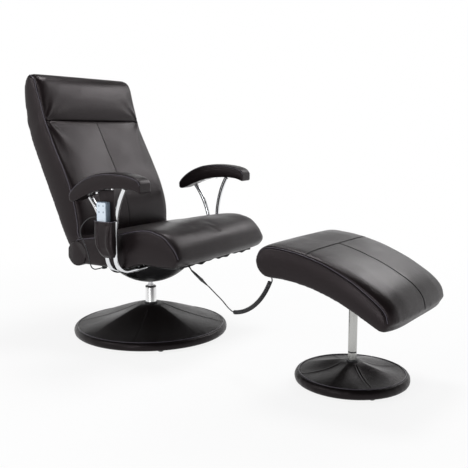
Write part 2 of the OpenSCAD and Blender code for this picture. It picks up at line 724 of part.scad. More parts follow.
// The space that the seat leaves for the back's front above its round end
back_space = concat([for (i = [2:4]) let (row = back_rows_share[i])
    back_place(row[0], row[1]) + back_crown * [row[4], row[5]] + nose_gap * [-1, 1]],
    [[pivot_y + nose_r, back_place(0, back_rows_share[4][1])[1]],
        [pivot_y + nose_r, pivot_z], [pivot_y, pivot_z]]);
module seat_cushion() color(leather) at_chair() difference() {
    loft([for (row = seat_rows_share) pillow_ring(seat_place(row[0], row[1]), seat_place(row[2], row[3]),
        seat_crown * [row[4], row[5]], seat_w, seat_bulge, 1)]);
    across(recess_outline, seat_w - 2 * board_border + 2 * soft_gap);
    pivot_bar(2 * seat_w, nose_r + nose_gap);
    across(back_space, 2 * seat_w);
    both_sides() for (y = [front_leg_y, rear_leg_y]) leg_bend(y, soft_gap);
    both_sides() translate([hinge_gap / 2 - hinge_t / 2 - soft_gap, board_rear, foot_low])
        cube([hinge_t + 2 * soft_gap, pivot_y - board_rear, pivot_z - foot_low]);
    both_sides() translate([seat_motor_x, seat_motor_y, board_low + board_t])
        cylinder(h = motor_h + soft_gap, r = motor_r + soft_gap);
}

module motor() {
    cylinder(h = motor_h * 0.7, r = motor_r);
    translate([0, 0, motor_h * 0.7]) cylinder(h = motor_h * 0.3, r = motor_r * 0.7);
}
module seat_motors() color(black_plastic) at_chair() both_sides()
    translate([seat_motor_x, seat_motor_y, board_low + board_t]) motor();

// Hinge plates that carry the back's shaft behind the board
foot_end = board_rear - hinge_foot_l;
foot_low = board_low - hinge_foot_h;
hinge_outline = [[foot_end, foot_low], [board_rear + over, foot_low],
    [pivot_y + eye_r * 0.5, pivot_z - eye_r * 0.85], [pivot_y, pivot_z],
    [pivot_y - eye_r * 0.5, pivot_z + eye_r * 0.85], [board_rear + over, board_low + board_t],
    [board_rear + over, board_low], [foot_end, board_low]];
module recline_brackets() color(black_steel) at_chair() both_sides()
    translate([hinge_gap / 2 - hinge_t / 2, 0, 0]) difference() {
        union() {
            in_yz() linear_extrude(hinge_t) polygon(hinge_outline);
            translate([0, pivot_y, pivot_z]) rotate([0, 90, 0]) cylinder(h = hinge_t, r = eye_r);
            translate([0, foot_end, board_low - hinge_flange_t])
                cube([hinge_flange_w, hinge_foot_l, hinge_flange_t]);
        }
        translate([-over, pivot_y, pivot_z]) rotate([0, 90, 0])
            cylinder(h = hinge_t + 2 * over, r = shaft_r + run_gap);
    }

// Back: cushion and headrest over a tube frame, turning on the shaft
function back_place(y, z) = [pivot_y + y * back_reach, pivot_z + z * back_h];
function back_ring(row) = pillow_ring(back_place(row[0], row[1]), back_place(row[2], row[3]),
    back_crown * [row[4], row[5]], back_w, back_bulge, 0);
function nose_front(a) = [pivot_y, pivot_z] + nose_r * [cos(270 - a), sin(270 - a)];
function nose_rear(i) = let (a = nose_angles[i])
    [pivot_y, pivot_z] + nose_r * [cos(270 + min(a, nose_rear_end)), sin(270 + min(a, nose_rear_end))]
        + [nose_rear_share[i], nose_rear_share[i] * 1.6] * (a > nose_rear_end ? nose_r : 0);
module back_skin() loft(concat(
    [for (i = [0:len(nose_angles) - 1]) pillow_ring(nose_front(nose_angles[i]), nose_rear(i),
        [0, 0], back_w, back_bulge, 0)],
    [for (row = back_rows_share) back_ring(row)]));

module along_back() translate([0, pivot_y, pivot_z]) rotate([-frame_lean, 0, 0]) children();
module frame_tubes(gap) {
    along_back() {
        both_sides() translate([frame_w / 2, 0, 0]) cylinder(h = frame_len + gap, r = frame_d / 2 + gap);
        for (s = rail_share) translate([-frame_w / 2, 0, s * frame_len]) rotate([0, 90, 0])
            cylinder(h = frame_w, r = rail_d / 2 + gap);
    }
    translate([0, pivot_y, pivot_z]) both_sides() translate([frame_w / 2 - sleeve_w / 2 - gap, 0, 0])
        rotate([0, 90, 0]) cylinder(h = sleeve_w + 2 * gap, r = sleeve_r + gap);
}
module motor_places() along_back() both_sides() for (s = back_motor_share)
    translate([back_motor_x, -rail_d / 2 - soft_gap, s * back_h]) rotate([90, 0, 0]) children();

module hinge_slot() {
    wedge = concat([[0, 0]], arc_points(nose_r + hinge_reach, hinge_slot_from, hinge_slot_to, 12));
    translate([hinge_gap / 2 - hinge_t / 2 - hinge_play, pivot_y, pivot_z]) {
        in_yz() linear_extrude(hinge_t + 2 * hinge_play) polygon(wedge);
        rotate([0, 90, 0]) cylinder(h = hinge_t + 2 * hinge_play, r = eye_r + hinge_clear);
    }
}

module back_cushion() color(leather) at_chair() difference() {
    back_skin();
    frame_tubes(soft_gap);
    motor_places() cylinder(h = motor_h + soft_gap, r = motor_r + soft_gap);
    pivot_bar(2 * back_w, shaft_r + soft_gap);
    both_sides() hinge_slot();
}

module headrest() color(leather) at_chair() difference() {
    loft([for (row = head_rows_share) back_ring(row)]);
    frame_tubes(soft_gap);
}

module back_frame() color(black_steel) at_chair() difference() {
    frame_tubes(0);
    pivot_bar(back_w, shaft_r + run_gap);
}

shaft_in = back_w / 2 - 2 * over;
knob_in = back_w / 2 + back_bulge + soft_gap;
module recline_shaft() color(chrome) at_chair() translate([-shaft_in, pivot_y, pivot_z]) rotate([0, 90, 0])
    cylinder(h = shaft_in + knob_in + knob_t / 2, r = shaft_r);

module back_motors() color(black_plastic) at_chair() motor_places() motor();

module recline_knob() color(black_plastic) at_chair()
    translate([knob_in, pivot_y, pivot_z]) rotate([0, 90, 0]) difference() {
        cylinder(h = knob_t, r = knob_d / 2);
        for (i = [0:5]) rotate([0, 0, 60 * i]) translate([knob_d * 0.62, 0, -over])
            cylinder(h = knob_t + 2 * over, r = knob_d * 0.22);
        translate([0, 0, -over]) cylinder(h = knob_t / 2 + over + soft_gap, r = shaft_r + run_gap);
    }

// Armrests: two bent tubes, a strap, and a padded top
function pad_place(y, z) = [pad_back - y * pad_len, pad_low + z * pad_h];
strap_rows = [for (i = [strap_first:strap_last]) pad_place(pad_rows_share[i][0], pad_rows_share[i][2])];
strap_count = strap_last - strap_first;
module above_strap() translate([-pad_x - strap_w, 0, 0]) in_yz() linear_extrude(2 * strap_w)
    polygon(concat(strap_rows, [strap_rows[strap_count] + [0, pad_h], strap_rows[0] + [0, pad_h]]));
module strap(gap) translate([-pad_x - strap_w / 2 - gap, 0, 0]) in_yz() linear_extrude(strap_w + 2 * gap)
    polygon(concat([for (p = strap_rows) p - [0, gap * 2]],
        [for (i = [strap_count:-1:0]) strap_rows[i] + [0, strap_t + gap]]));

module bow(path_r, from, angle, gap = 0) rotate([0, 0, from]) rotate_extrude(angle = angle, $fn = 96)
    translate([path_r, 0]) circle(r = leg_r + gap, $fn = 48);
module leg_bend(y, gap) translate([-leg_x + leg_bend_r, -y, knee_z]) in_xz() bow(leg_bend_r, 180, 90, gap);
module leg_foot(y, run_end) {
    leg_bend(y, 0);
    translate([-leg_x + leg_bend_r, -y, run_z]) rotate([0, 90, 0])
        cylinder(h = leg_x - leg_bend_r - run_end, r = leg_r, $fn = 48);
}
module front_leg() difference() {
    union() {
        leg_foot(front_leg_y, front_run_end);
        translate([-leg_x, -front_leg_y, knee_z]) cylinder(h = front_bow_z - knee_z, r = leg_r, $fn = 48);
        translate([-leg_x, -front_leg_y - front_bow_r, front_bow_z]) in_yz() bow(front_bow_r, 0, front_bow);
    }
    above_strap();
}
module rear_leg() difference() {
    union() {
        leg_foot(rear_leg_y, rear_run_end);
        translate([-leg_x, -rear_leg_y, knee_z]) cylinder(h = rear_straight, r = leg_r, $fn = 48);
        translate([-leg_x, rear_bow_r - rear_leg_y, knee_z + rear_straight]) in_yz()
            mirror([1, 0, 0]) bow(rear_bow_r, 0, rear_bow);
    }
    above_strap();
}
module arm_pad() translate([-pad_x, 0, 0]) loft([for (row = pad_rows_share) pillow_ring(
    pad_place(row[0], row[1]), pad_place(row[0], row[2]), [0, pad_crown], pad_w, pad_bulge, 0)]);

module right_front_leg() color(chrome) at_chair() front_leg();
module left_front_leg() color(chrome) at_chair() mirror([1, 0, 0]) front_leg();
module right_rear_leg() color(chrome) at_chair() rear_leg();
module left_rear_leg() color(chrome) at_chair() mirror([1, 0, 0]) rear_leg();
screw_rows = [2, 4];
module pad_holes(r) for (i = screw_rows) let (p = strap_rows[i])
    translate([-pad_x, p[0], p[1] - screw_drop - over]) cylinder(h = strap_t + screw_depth, r = r);
module bored_pad() difference() {
    arm_pad();
    strap(soft_gap);
    pad_holes(screw_r);
}
module right_arm_pad() color(leather) at_chair() bored_pad();
module left_arm_pad() color(leather) at_chair() mirror([1, 0, 0]) bored_pad();
module arm_straps() color(chrome) at_chair() both_sides() difference() {
    strap(0);
    pad_holes(screw_r);
}
module pad_screws() color(chrome) at_chair() both_sides() {
    pad_holes(screw_r);
    for (i = screw_rows) translate([-pad_x, strap_rows[i][0], strap_rows[i][1] - screw_drop - screw_head_h])
        cylinder(h = screw_head_h, r = screw_head_r);
}
module leg_plates() color(black_steel) at_chair() difference() {
    both_sides() translate([plate_in, -front_leg_y - 2 * plate_margin, board_low - plate_t])
        cube([plate_out - plate_in, front_leg_y - rear_leg_y + 4 * plate_margin, plate_t]);
    at_leg_bolts(board_low - 2 * plate_t) cylinder(h = 3 * plate_t, r = bolt_r);
}

// Pocket: a leather pouch on a hanger that comes down from the armrest
pocket_front = pocket_rear + pocket_w;
function pouch(t) = [[-pocket_rear - t, pocket_top + over * t],
    [-pocket_rear - pocket_w * 0.3 - t, pocket_low + t + pouch_rise],
    [-pocket_rear - pocket_w * 0.45, pocket_low + t], [-pocket_front + pocket_w * 0.12, pocket_low + t],
    [-pocket_front + t, pocket_low + t + pocket_w * 0.14], [-pocket_front + t, pocket_top + over * t]];
hanger = [[-pocket_rear, pocket_top - over], [-pocket_rear - pocket_w * 0.2, pocket_top + pocket_w * 0.5],
    [-pocket_rear - over, pad_low + pad_h * 0.45],
    [-pocket_front - pocket_w * 0.15, pad_low + pad_h * 0.45],
    [-pocket_front + pocket_w * 0.1, pocket_top + pocket_w * 0.55],
    [-pocket_front + pocket_w * 0.12, pocket_top + pocket_w * 0.2], [-pocket_front, pocket_top - over]];
module controller_pocket() color(leather) at_chair() difference() {
    union() {
        translate([-pocket_out, 0, 0]) in_yz() linear_extrude(pocket_out - pocket_back) polygon(pouch(0));
        translate([-pocket_back - pocket_t, 0, 0]) in_yz() linear_extrude(pocket_t) polygon(hanger);
    }
    translate([-remote_out - soft_gap, 0, 0]) in_yz()
        linear_extrude(remote_t + 2 * soft_gap) polygon(pouch(pocket_t));
    above_strap();
}

// Controller: case, face plate and four sprung buttons
remote_mid_z = remote_low + remote_h / 2;
module at_remote_face(depth) at_chair()
    translate([-remote_out + depth, -remote_y, remote_mid_z]) in_yz() children();
function button_at(i) = let (s = button_places_share[i]) [(s[0] - 0.5) * remote_w, (s[1] - 0.5) * remote_h];
module controller_case() color(blue_plastic) difference() {
    at_remote_face(0) linear_extrude(remote_t) polygon(slot_points(remote_w, remote_h, remote_round));
    at_remote_face(-over) linear_extrude(face_t + over)
        polygon(slot_points(remote_w - 2 * face_border, remote_h - 2 * face_border, remote_round - over));
    for (i = [0:len(button_places_share) - 1]) at_remote_face(0) translate(button_at(i))
        cylinder(h = button_stem + 2 * button_stroke, r = button_r + 2 * button_gap);
}
module controller_face() color(pale_plastic) difference() {
    at_remote_face(0) linear_extrude(face_t)
        polygon(slot_points(remote_w - 2 * face_border, remote_h - 2 * face_border, remote_round - over));
    for (i = [0:len(button_places_share) - 1]) at_remote_face(-over) translate(button_at(i))
        cylinder(h = face_t + 2 * over, r = button_r + button_gap);
}
module button(i) color(blue_plastic) at_remote_face(-button_rise) translate(button_at(i))
    cylinder(h = button_stem + button_rise, r = button_r);
module power_button() button(0);
module heat_button() button(1);
module mode_button() button(2);
module strength_button() button(3);

// Control box with its power inlet and the pigtail's gland, and a gland for the controller's cord
module control_box() color(black_plastic) at_chair() difference() {
    union() {
        translate(box_at - [box_size[0] / 2, box_size[1] / 2, 0]) cube(box_size);
        translate([box_at[0], box_at[1] - box_size[1] / 2, pigtail_route[0][2]]) rotate([90, 0, 0])
            cylinder(h = gland_len, r = gland_r);
    }
    translate([box_at[0] + box_size[0] / 4, box_at[1] + box_size[1] / 2 + over, pigtail_route[0][2]])
        rotate([90, 0, 0]) cylinder(h = gland_len + over, r = gland_r);
}
gland_at = controller_cord_route[len(controller_cord_route) - 1];
module cord_gland() color(black_plastic) at_chair()
    translate([gland_at[0], gland_at[1] - gland_r, gland_at[2] - gland_r])
        cube([2 * gland_len, 2 * gland_r, board_low - gland_at[2] + gland_r]);

module controller_cord() color(black_plastic) at_chair()
    cord(controller_cord_route, 3, [0, 1, 0], [1, 0, 0]);

// Link cord: pigtail, inline connector, lead and curly cord up to the stool
plug_from = pigtail_route[len(pigtail_route) - 1];
plug_to = lead_route[0];
plug_way = unit(plug_to - plug_from);
plug_total = norm(plug_to - plug_from);
module along_plug() translate(plug_from)
    rotate([0, acos(plug_way[2]), atan2(plug_way[1], plug_way[0])]) children();
module link_pigtail() color(black_plastic) at_chair() cord(pigtail_route, 2, [0, -1, 0], plug_way);
module link_lead() color(black_plastic) at_chair() cord(lead_route, 2, plug_way, curly_end(0));
module link_socket() color(black_plastic) at_chair() along_plug() rotate_extrude()
    polygon([[0, 0], [plug_d * 0.25, 0], [plug_d * 0.38, plug_len * 0.5], [plug_d * 0.42, plug_len * 0.55],
        [plug_d * 0.45, plug_total - plug_len - soft_gap], [0, plug_total - plug_len - soft_gap]]);
module link_plug() color(black_plastic) at_chair() along_plug() translate([0, 0, plug_total - plug_len])
    rotate_extrude() polygon([[0, 0], [plug_d * 0.45, 0], [plug_d * 0.5, plug_len * 0.15],
        [plug_d * 0.5, plug_len * 0.4], [plug_d * 0.42, plug_len * 0.45],
        [plug_d * 0.25, plug_len], [0, plug_len]]);

curl_r = (curly_d - cord_d) / 2;
curly_side = [-curly_heading[1], curly_heading[0], 0];
curly_turn = curly_end_angle - curly_start_angle;
curly_len = curly_sweep_r * curly_turn * PI / 180;
curly_steps = (curl_count + 2) * curl_rings;
straight_share = cord_d * 1.5 / curly_len;
function curly_s(i) = i / curly_steps;
function curly_angle(s) = curly_start_angle + curly_turn * s;
function curly_axis(s) = let (a = curly_angle(s), b = curly_start_angle) curly_start
    + curly_sweep_r * (curly_heading * (sin(a) - sin(b)) + [0, 0, cos(b) - cos(a)]);
function curly_out(i) = let (s = curly_s(i), a = curly_angle(s), t = 360 * i / curl_rings)
    curly_side * cos(t) + (curly_heading * -sin(a) + [0, 0, cos(a)]) * sin(t);
function curly_r(i) = let (s = curly_s(i), e = min(s, 1 - s) - straight_share)
    e <= 0 ? 0 : curl_r * min(1, e * curly_steps / curl_rings);
function curly_at(i) = curly_axis(curly_s(i)) + curly_r(i) * curly_out(i);
function curly_end(i) = let (a = curly_angle(curly_s(i))) curly_heading * cos(a) + [0, 0, sin(a)];
function curly_way(i) = i <= 0 || i >= curly_steps ? curly_end(i) : unit(curly_at(i + 1) - curly_at(i - 1));
function curly_ring(i) = let (way = curly_way(i), b = unit(cross(way, curly_out(i))), a = cross(b, way))
    [for (j = [0:curl_sides - 1]) let (t = 360 * j / curl_sides)
        curly_at(i) + cord_d / 2 * (b * sin(t) - a * cos(t))];
module curly_cord() color(black_plastic) at_chair() {
    places = [for (i = [0:curly_steps]) curly_at(i)];
    near = [for (i = [2 * curl_rings:curly_steps - 4 * curl_rings])
        for (k = [curl_rings - 3:curl_rings + 3]) norm(places[i] - places[i + k])];
    echo("least gap between curls", min(near) - cord_d);
    loft([for (i = [0:curly_steps]) curly_ring(i)]);
}

// Stool column: a fixed post with a pin, a washer, and the tube that turns on it
module stool_post() color(chrome) at_stool() {
    translate([0, 0, glide_h]) cylinder(h = stool_joint_z - glide_h, r = stool_column_d / 2);
    translate([0, 0, stool_joint_z])
        cylinder(h = stool_column_top - stool_joint_z - over, r = stool_pin_d / 2);
}
module stool_washer() color(black_plastic) at_stool() translate([0, 0, stool_joint_z]) difference() {
    cylinder(h = washer_t, r = stool_column_d / 2 - over / 2);
    translate([0, 0, -over]) cylinder(h = washer_t + 2 * over, r = stool_pin_d / 2 + run_gap);
}
module stool_column() color(chrome) at_stool_top() difference() {
    translate([0, 0, stool_column_low])
        cylinder(h = stool_column_top - stool_column_low, r = stool_column_d / 2);
    translate([0, 0, stool_column_low - over])
        cylinder(h = stool_column_top, r = stool_pin_d / 2 + run_gap);
}

// Stool top: a curved board on a welded bracket, under a crowned cushion
module stool_arc(from_r, to_r, w, rear, front) translate([-w / 2, 0, 0]) in_yz() linear_extrude(w)
    intersection() {
        translate([stool_arc_y, stool_arc_z]) difference() {
            circle(r = to_r, $fn = 200);
            circle(r = from_r, $fn = 200);
        }
        translate([-front, stool_low / 2]) square([rear + front, 2 * stool_low]);
    }
module stool_board() color(plywood) at_stool_top()
    stool_arc(stool_arc_r + over, stool_arc_r + over + board_t, stool_w - 2 * board_border,
        stool_board_rear, stool_board_front);
module stool_bracket() color(black_steel) at_stool_top() {
    difference() {
        union() {
            translate([0, 0, stool_column_top - stool_socket_len])
                cylinder(h = 2 * stool_socket_len, r = stool_collar_d / 2);
            for (s = [-1, 1]) translate([s * stool_web_gap / 2 - bracket_t / 2, 0, 0]) in_yz()
                linear_extrude(bracket_t) polygon([
                    [-stool_collar_d / 2, stool_column_top - stool_socket_len / 2],
                    [stool_collar_d / 2, stool_column_top - stool_socket_len / 2],
                    [stool_web_l / 2, stool_column_top + stool_socket_len],
                    [-stool_web_l / 2, stool_column_top + stool_socket_len],
                    [-stool_web_l / 2, stool_column_top]]);
            translate([-stool_web_gap / 2, -bracket_t, stool_column_top - stool_socket_len / 2])
                cube([stool_web_gap, 2 * bracket_t, stool_socket_len]);
        }
        translate([0, 0, stool_column_top - stool_socket_len - over])
            cylinder(h = stool_socket_len + over, r = stool_column_d / 2);
        translate([-stool_w / 2, stool_arc_y, stool_arc_z]) rotate([0, 90, 0]) difference() {
            cylinder(h = stool_w, r = 2 * stool_arc_r, $fn = 96);
            translate([0, 0, -over])
                cylinder(h = stool_w + 2 * over, r = stool_arc_r + over - bracket_t, $fn = 200);
        }
    }
    stool_arc(stool_arc_r + over - bracket_t, stool_arc_r + over,
        stool_web_l, stool_web_l / 2, stool_web_l / 2);
}
function stool_place(y, z) = [stool_back - y * stool_len, stool_low + z * stool_h];
stool_motor_y = 40;
stool_motor_z = stool_arc_z
    + sqrt(pow(stool_arc_r + over + board_t, 2) - pow(stool_arc_y - stool_motor_y, 2));
stool_motor_lean = asin((stool_arc_y - stool_motor_y) / stool_arc_r);
module at_stool_motor() translate([0, stool_motor_y, stool_motor_z + soft_gap])
    rotate([stool_motor_lean, 0, 0]) children();
module stool_motor() color(black_plastic) at_stool_top() at_stool_motor() motor();
module stool_cushion() color(leather) difference() {
    at_stool_top() loft([for (row = stool_rows_share) pillow_ring(
        stool_place(row[0], row[1]), stool_place(row[2], row[3]),
        stool_crown * [row[4], row[5]], stool_w, stool_bulge, 0.7, soft_puff)]);
    at_stool_top() stool_arc(stool_arc_r - board_t, stool_arc_r + over + board_t + soft_gap,
        stool_w - 2 * board_border + 2 * soft_gap,
        stool_board_rear + soft_gap, stool_board_front + soft_gap);
    at_stool_top() at_stool_motor() translate([0, 0, -over])
        cylinder(h = motor_h + over + soft_gap, r = motor_r + soft_gap);
    at_stool_gland() cylinder(h = gland_rise + gland_room, r = gland_r + soft_gap);
}

// Tapered gland where the curly cord goes up into the stool
curly_last = curly_axis(1);
module at_stool_gland() at_chair() translate(curly_last)
    rotate([0, 90 - curly_end_angle, atan2(curly_heading[1], curly_heading[0])]) children();
module stool_cord_gland() color(black_plastic) at_stool_gland()
    cylinder(h = gland_rise, r1 = gland_r * 0.6, r2 = gland_r);

chair_base_board();
chair_base_legs();
chair_base_cover();
chair_base_rim();
base_glides();
chair_column_collar();
chair_column();
chair_column_bush();
stool_base_board();
stool_base_legs();
stool_base_cover();
stool_base_rim();
stool_column_collar();
stool_post();
stool_washer();
seat_spindle();
swivel_pan();
swivel_bracket();
underseat_bolts();
seat_board();
seat_cushion();
seat_motors();
recline_brackets();
control_box();
cord_gland();
right_front_leg();
right_rear_leg();
right_arm_pad();
left_front_leg();
left_rear_leg();
left_arm_pad();
arm_straps();
leg_plates();
pad_screws();
controller_pocket();
controller_cord();
link_pigtail();
link_socket();
back_cushion();
headrest();
back_frame();
recline_shaft();
back_motors();
recline_knob();
controller_case();
controller_face();
power_button();
heat_button();
mode_button();
strength_button();
stool_column();
stool_bracket();
stool_board();
stool_cushion();
stool_motor();
stool_cord_gland();
link_plug();
link_lead();
curly_cord();
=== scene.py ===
import bpy, bmesh, json, math
import numpy as np
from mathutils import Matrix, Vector
from mathutils.bvhtree import BVHTree
from mathutils.kdtree import KDTree

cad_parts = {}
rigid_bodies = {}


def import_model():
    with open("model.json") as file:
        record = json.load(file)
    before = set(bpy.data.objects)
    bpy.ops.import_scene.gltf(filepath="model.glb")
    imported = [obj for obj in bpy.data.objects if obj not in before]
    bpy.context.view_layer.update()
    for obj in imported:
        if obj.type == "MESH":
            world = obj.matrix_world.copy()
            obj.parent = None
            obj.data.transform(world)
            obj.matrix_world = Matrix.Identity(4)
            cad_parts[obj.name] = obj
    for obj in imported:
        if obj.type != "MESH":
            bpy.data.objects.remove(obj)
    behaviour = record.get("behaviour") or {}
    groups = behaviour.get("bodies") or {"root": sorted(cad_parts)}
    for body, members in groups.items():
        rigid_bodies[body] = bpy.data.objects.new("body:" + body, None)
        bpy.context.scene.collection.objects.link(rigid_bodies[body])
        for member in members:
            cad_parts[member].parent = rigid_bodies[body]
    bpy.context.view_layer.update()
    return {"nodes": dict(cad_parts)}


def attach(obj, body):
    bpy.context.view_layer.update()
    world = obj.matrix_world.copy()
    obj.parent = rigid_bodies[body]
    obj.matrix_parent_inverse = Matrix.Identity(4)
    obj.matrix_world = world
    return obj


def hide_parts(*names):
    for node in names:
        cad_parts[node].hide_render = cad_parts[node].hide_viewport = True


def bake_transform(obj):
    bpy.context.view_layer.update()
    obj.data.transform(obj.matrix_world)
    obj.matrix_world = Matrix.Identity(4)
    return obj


for thing in list(bpy.data.objects):
    bpy.data.objects.remove(thing)
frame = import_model()
CAD = frame["nodes"]


# The viewpoint: a long lens at sitting height, off the sitter's right front,
# looking a little down on the set.
lens_data = bpy.data.cameras.new("viewpoint")
lens_data.sensor_width = 36.0
frame_pixels, focal_pixels = 468, 708
lens_data.lens = focal_pixels / frame_pixels * lens_data.sensor_width
lens_data.clip_start, lens_data.clip_end = 0.05, 60
viewpoint = bpy.data.objects.new("viewpoint", lens_data)
bpy.context.scene.collection.objects.link(viewpoint)
heading, dip = math.radians(31.362), math.radians(-8.4825)
sight = Vector((math.cos(heading) * math.cos(dip), math.sin(heading) * math.cos(dip), math.sin(dip)))
viewpoint.location = (-2.1718, -1.3260, 0.800)
viewpoint.rotation_mode = "QUATERNION"
viewpoint.rotation_quaternion = sight.to_track_quat("-Z", "Y")
bpy.context.scene.camera = viewpoint

# Cords: black rubber-jacketed leads. The link cord drops out of the footstool
# as a tight curl, goes on as a plain lead and ends in an inline connector;
# the controller's thin cord hangs in a loop behind the pocket.
CHAIR_Y, STOOL_AT, STOOL_TURN = 0.384, (-0.129, -0.520), math.radians(-3.5)


def at_chair(p):
    """Millimetres from the chair's column to metres on the floor plan of the set."""
    p = np.asarray(p, float) / 1000
    return p + np.array([0, CHAIR_Y, 0])


def at_stool(p):
    """Millimetres from the footstool's column, with its slight turn, to metres on the floor plan."""
    x, y, z = (np.atleast_2d(np.asarray(p, float)) / 1000).T
    c, s = math.cos(STOOL_TURN), math.sin(STOOL_TURN)
    return np.stack([x * c - y * s + STOOL_AT[0], x * s + y * c + STOOL_AT[1], z], 1)


def smooth_line(route, steps):
    """Points on one smooth curve through a route's own points."""
    p = np.asarray(route, float)
    n = len(p) - 1
    out = []
    for i in range(n):
        a, b, c, d = p[max(i - 1, 0)], p[i], p[i + 1], p[min(i + 2, n)]
        for k in range(steps):
            t = k / steps
            out.append(0.5 * (2 * b + (c - a) * t + (2 * a - 5 * b + 4 * c - d) * t * t
                              + (3 * b - a - 3 * c + d) * t ** 3))
    return np.array(out + [p[n]])


def mesh_piece(name, points, faces, smooth=True, crease=None):
    """A mesh object at the origin, with its place in its vertices."""
    me = bpy.data.meshes.new(name)
    me.from_pydata([tuple(p) for p in points], [], [tuple(f) for f in faces])
    me.update()
    if smooth:
        me.polygons.foreach_set("use_smooth", [True] * len(me.polygons))
        if crease:
            me.set_sharp_from_angle(angle=math.radians(crease))
    o = bpy.data.objects.new(name, me)
    bpy.context.scene.collection.objects.link(o)
    return o


def outward(o, merge=0.0):
    """Turns every face of a closed mesh outwards."""
    b = bmesh.new()
    b.from_mesh(o.data)
    if merge:
        bmesh.ops.remove_doubles(b, verts=b.verts, dist=merge)
    bmesh.ops.recalc_face_normals(b, faces=b.faces)
    b.to_mesh(o.data)
    b.free()
    o.data.update()
    return o


def tube(name, way, radius, sides=16, round_ends=0.0, crease=60):
    """A closed round skin along a line of points; radius is one number or one for each point."""
    way = np.asarray(way, float)
    n = len(way)
    radius = np.full(n, radius) if np.isscalar(radius) else np.asarray(radius, float)
    t = np.gradient(way, axis=0)
    t /= np.linalg.norm(t, axis=1)[:, None]
    side = np.cross(t[0], [0.31, 0.52, 0.8])
    side /= np.linalg.norm(side)
    points, faces = [], []
    turn = np.linspace(0, 2 * math.pi, sides, endpoint=False)
    for i in range(n):
        side = side - t[i] * (side @ t[i])
        side /= np.linalg.norm(side)
        up = np.cross(t[i], side)
        points.append(way[i] + radius[i] * (np.cos(turn)[:, None] * side + np.sin(turn)[:, None] * up))
    points = np.concatenate(points)
    k = np.arange(sides)
    for i in range(n - 1):
        a, b = i * sides + k, i * sides + (k + 1) % sides
        faces += list(zip(a, b, b + sides, a + sides))
    ends = [way[0] - t[0] * round_ends, way[-1] + t[-1] * round_ends]
    points = np.concatenate([points, ends])
    m = n * sides
    faces += [((j + 1) % sides, j, m) for j in range(sides)]
    faces += [(m - sides + j, m - sides + (j + 1) % sides, m + 1) for j in range(sides)]
    return mesh_piece(name, points, faces, True, crease)


def new_group(name, inputs, outputs):
    """A shader node group with named value or colour sockets; returns it with its two ends."""
    g = bpy.data.node_groups.new(name, "ShaderNodeTree")
    kinds = {float: "NodeSocketFloat", Vector: "NodeSocketVector", tuple: "NodeSocketColor"}
    for n, v in inputs.items():
        s = g.interface.new_socket(n, in_out="INPUT", socket_type=kinds[type(v)])
        s.default_value = v
    for n, k in outputs.items():
        g.interface.new_socket(n, in_out="OUTPUT", socket_type=kinds[k])
    return g, g.nodes.new("NodeGroupInput"), g.nodes.new("NodeGroupOutput")


def node(tree, kind, values=(), links=(), **props):
    """One node with its settings, its sockets' values and what feeds them."""
    n = tree.nodes.new(kind)
    for k, v in props.items():
        setattr(n, k, v)
    for k, v in dict(values).items():
        n.inputs[k].default_value = v
    for k, v in dict(links).items():
        tree.links.new(v, n.inputs[k])
    return n


def math_node(tree, op, a, b=None):
    """The result of one sum on one or two values or sockets."""
    n = tree.nodes.new("ShaderNodeMath")
    n.operation = op
    for i, v in enumerate((a, b)):
        if v is None:
            continue
        if isinstance(v, (int, float)):
            n.inputs[i].default_value = v
        else:
            tree.links.new(v, n.inputs[i])
    return n.outputs[0]


def span(tree, value, lo, hi, to_lo=0.0, to_hi=1.0):
    """A value moved from one span to another, held at the ends."""
    ends = {"From Min": lo, "From Max": hi, "To Min": to_lo, "To Max": to_hi}
    made = node(tree, "ShaderNodeMapRange", ends, {"Value": value}, interpolation_type="SMOOTHSTEP")
    return made.outputs["Result"]


def mixed(tree, share, a, b):
    """A colour between two, by a mask."""
    n = tree.nodes.new("ShaderNodeMix")
    n.data_type = "RGBA"
    for i, v in ((0, share), (6, a), (7, b)):
        if isinstance(v, bpy.types.NodeSocket):
            tree.links.new(v, n.inputs[i])
        elif i:
            n.inputs[i].default_value = (*v[:3], 1.0)
        else:
            n.inputs[i].default_value = v
    return n.outputs[2]


def finish_of(name, **plain):
    """A material with plain values on its shader; returns it with its tree, shader and object coordinates."""
    m = bpy.data.materials.new(name)
    m.use_nodes = True
    t = m.node_tree
    shader = t.nodes["Principled BSDF"]
    for k, v in plain.items():
        is_colour = isinstance(v, tuple) and len(v) == 3
        shader.inputs[k.replace("_", " ")].default_value = (*v, 1.0) if is_colour else v
    where = t.nodes.new("ShaderNodeTexCoord").outputs["Object"]
    return m, t, shader, where


# Fine uneven skin, shared by every moulded surface: broad blotches, and specks for the bumps
skin, gi, go = new_group("uneven skin", {"Where": Vector((0, 0, 0)), "Blotch": 14.0, "Speck": 900.0},
                         {"Blotches": float, "Specks": float})
blotch = node(skin, "ShaderNodeTexNoise", {"Detail": 4.0, "Roughness": 0.6},
              {"Vector": gi.outputs["Where"], "Scale": gi.outputs["Blotch"]})
speck = node(skin, "ShaderNodeTexNoise", {"Detail": 2.0, "Roughness": 0.5},
             {"Vector": gi.outputs["Where"], "Scale": gi.outputs["Speck"]})
skin.links.new(span(skin, blotch.outputs["Fac"], 0.3, 0.7), go.inputs["Blotches"])
skin.links.new(span(skin, speck.outputs["Fac"], 0.25, 0.75), go.inputs["Specks"])


def use_group(tree, group, where, **values):
    """Places a shared effect in a material, with its own values."""
    g = tree.nodes.new("ShaderNodeGroup")
    g.node_tree = group
    tree.links.new(where, g.inputs["Where"])
    for k, v in values.items():
        g.inputs[k].default_value = v
    return g


def bumped(tree, shader, height, strength, distance):
    """Gives a material its relief from a height."""
    b = node(tree, "ShaderNodeBump", {"Strength": strength, "Distance": distance}, {"Height": height})
    tree.links.new(b.outputs["Normal"], shader.inputs["Normal"])


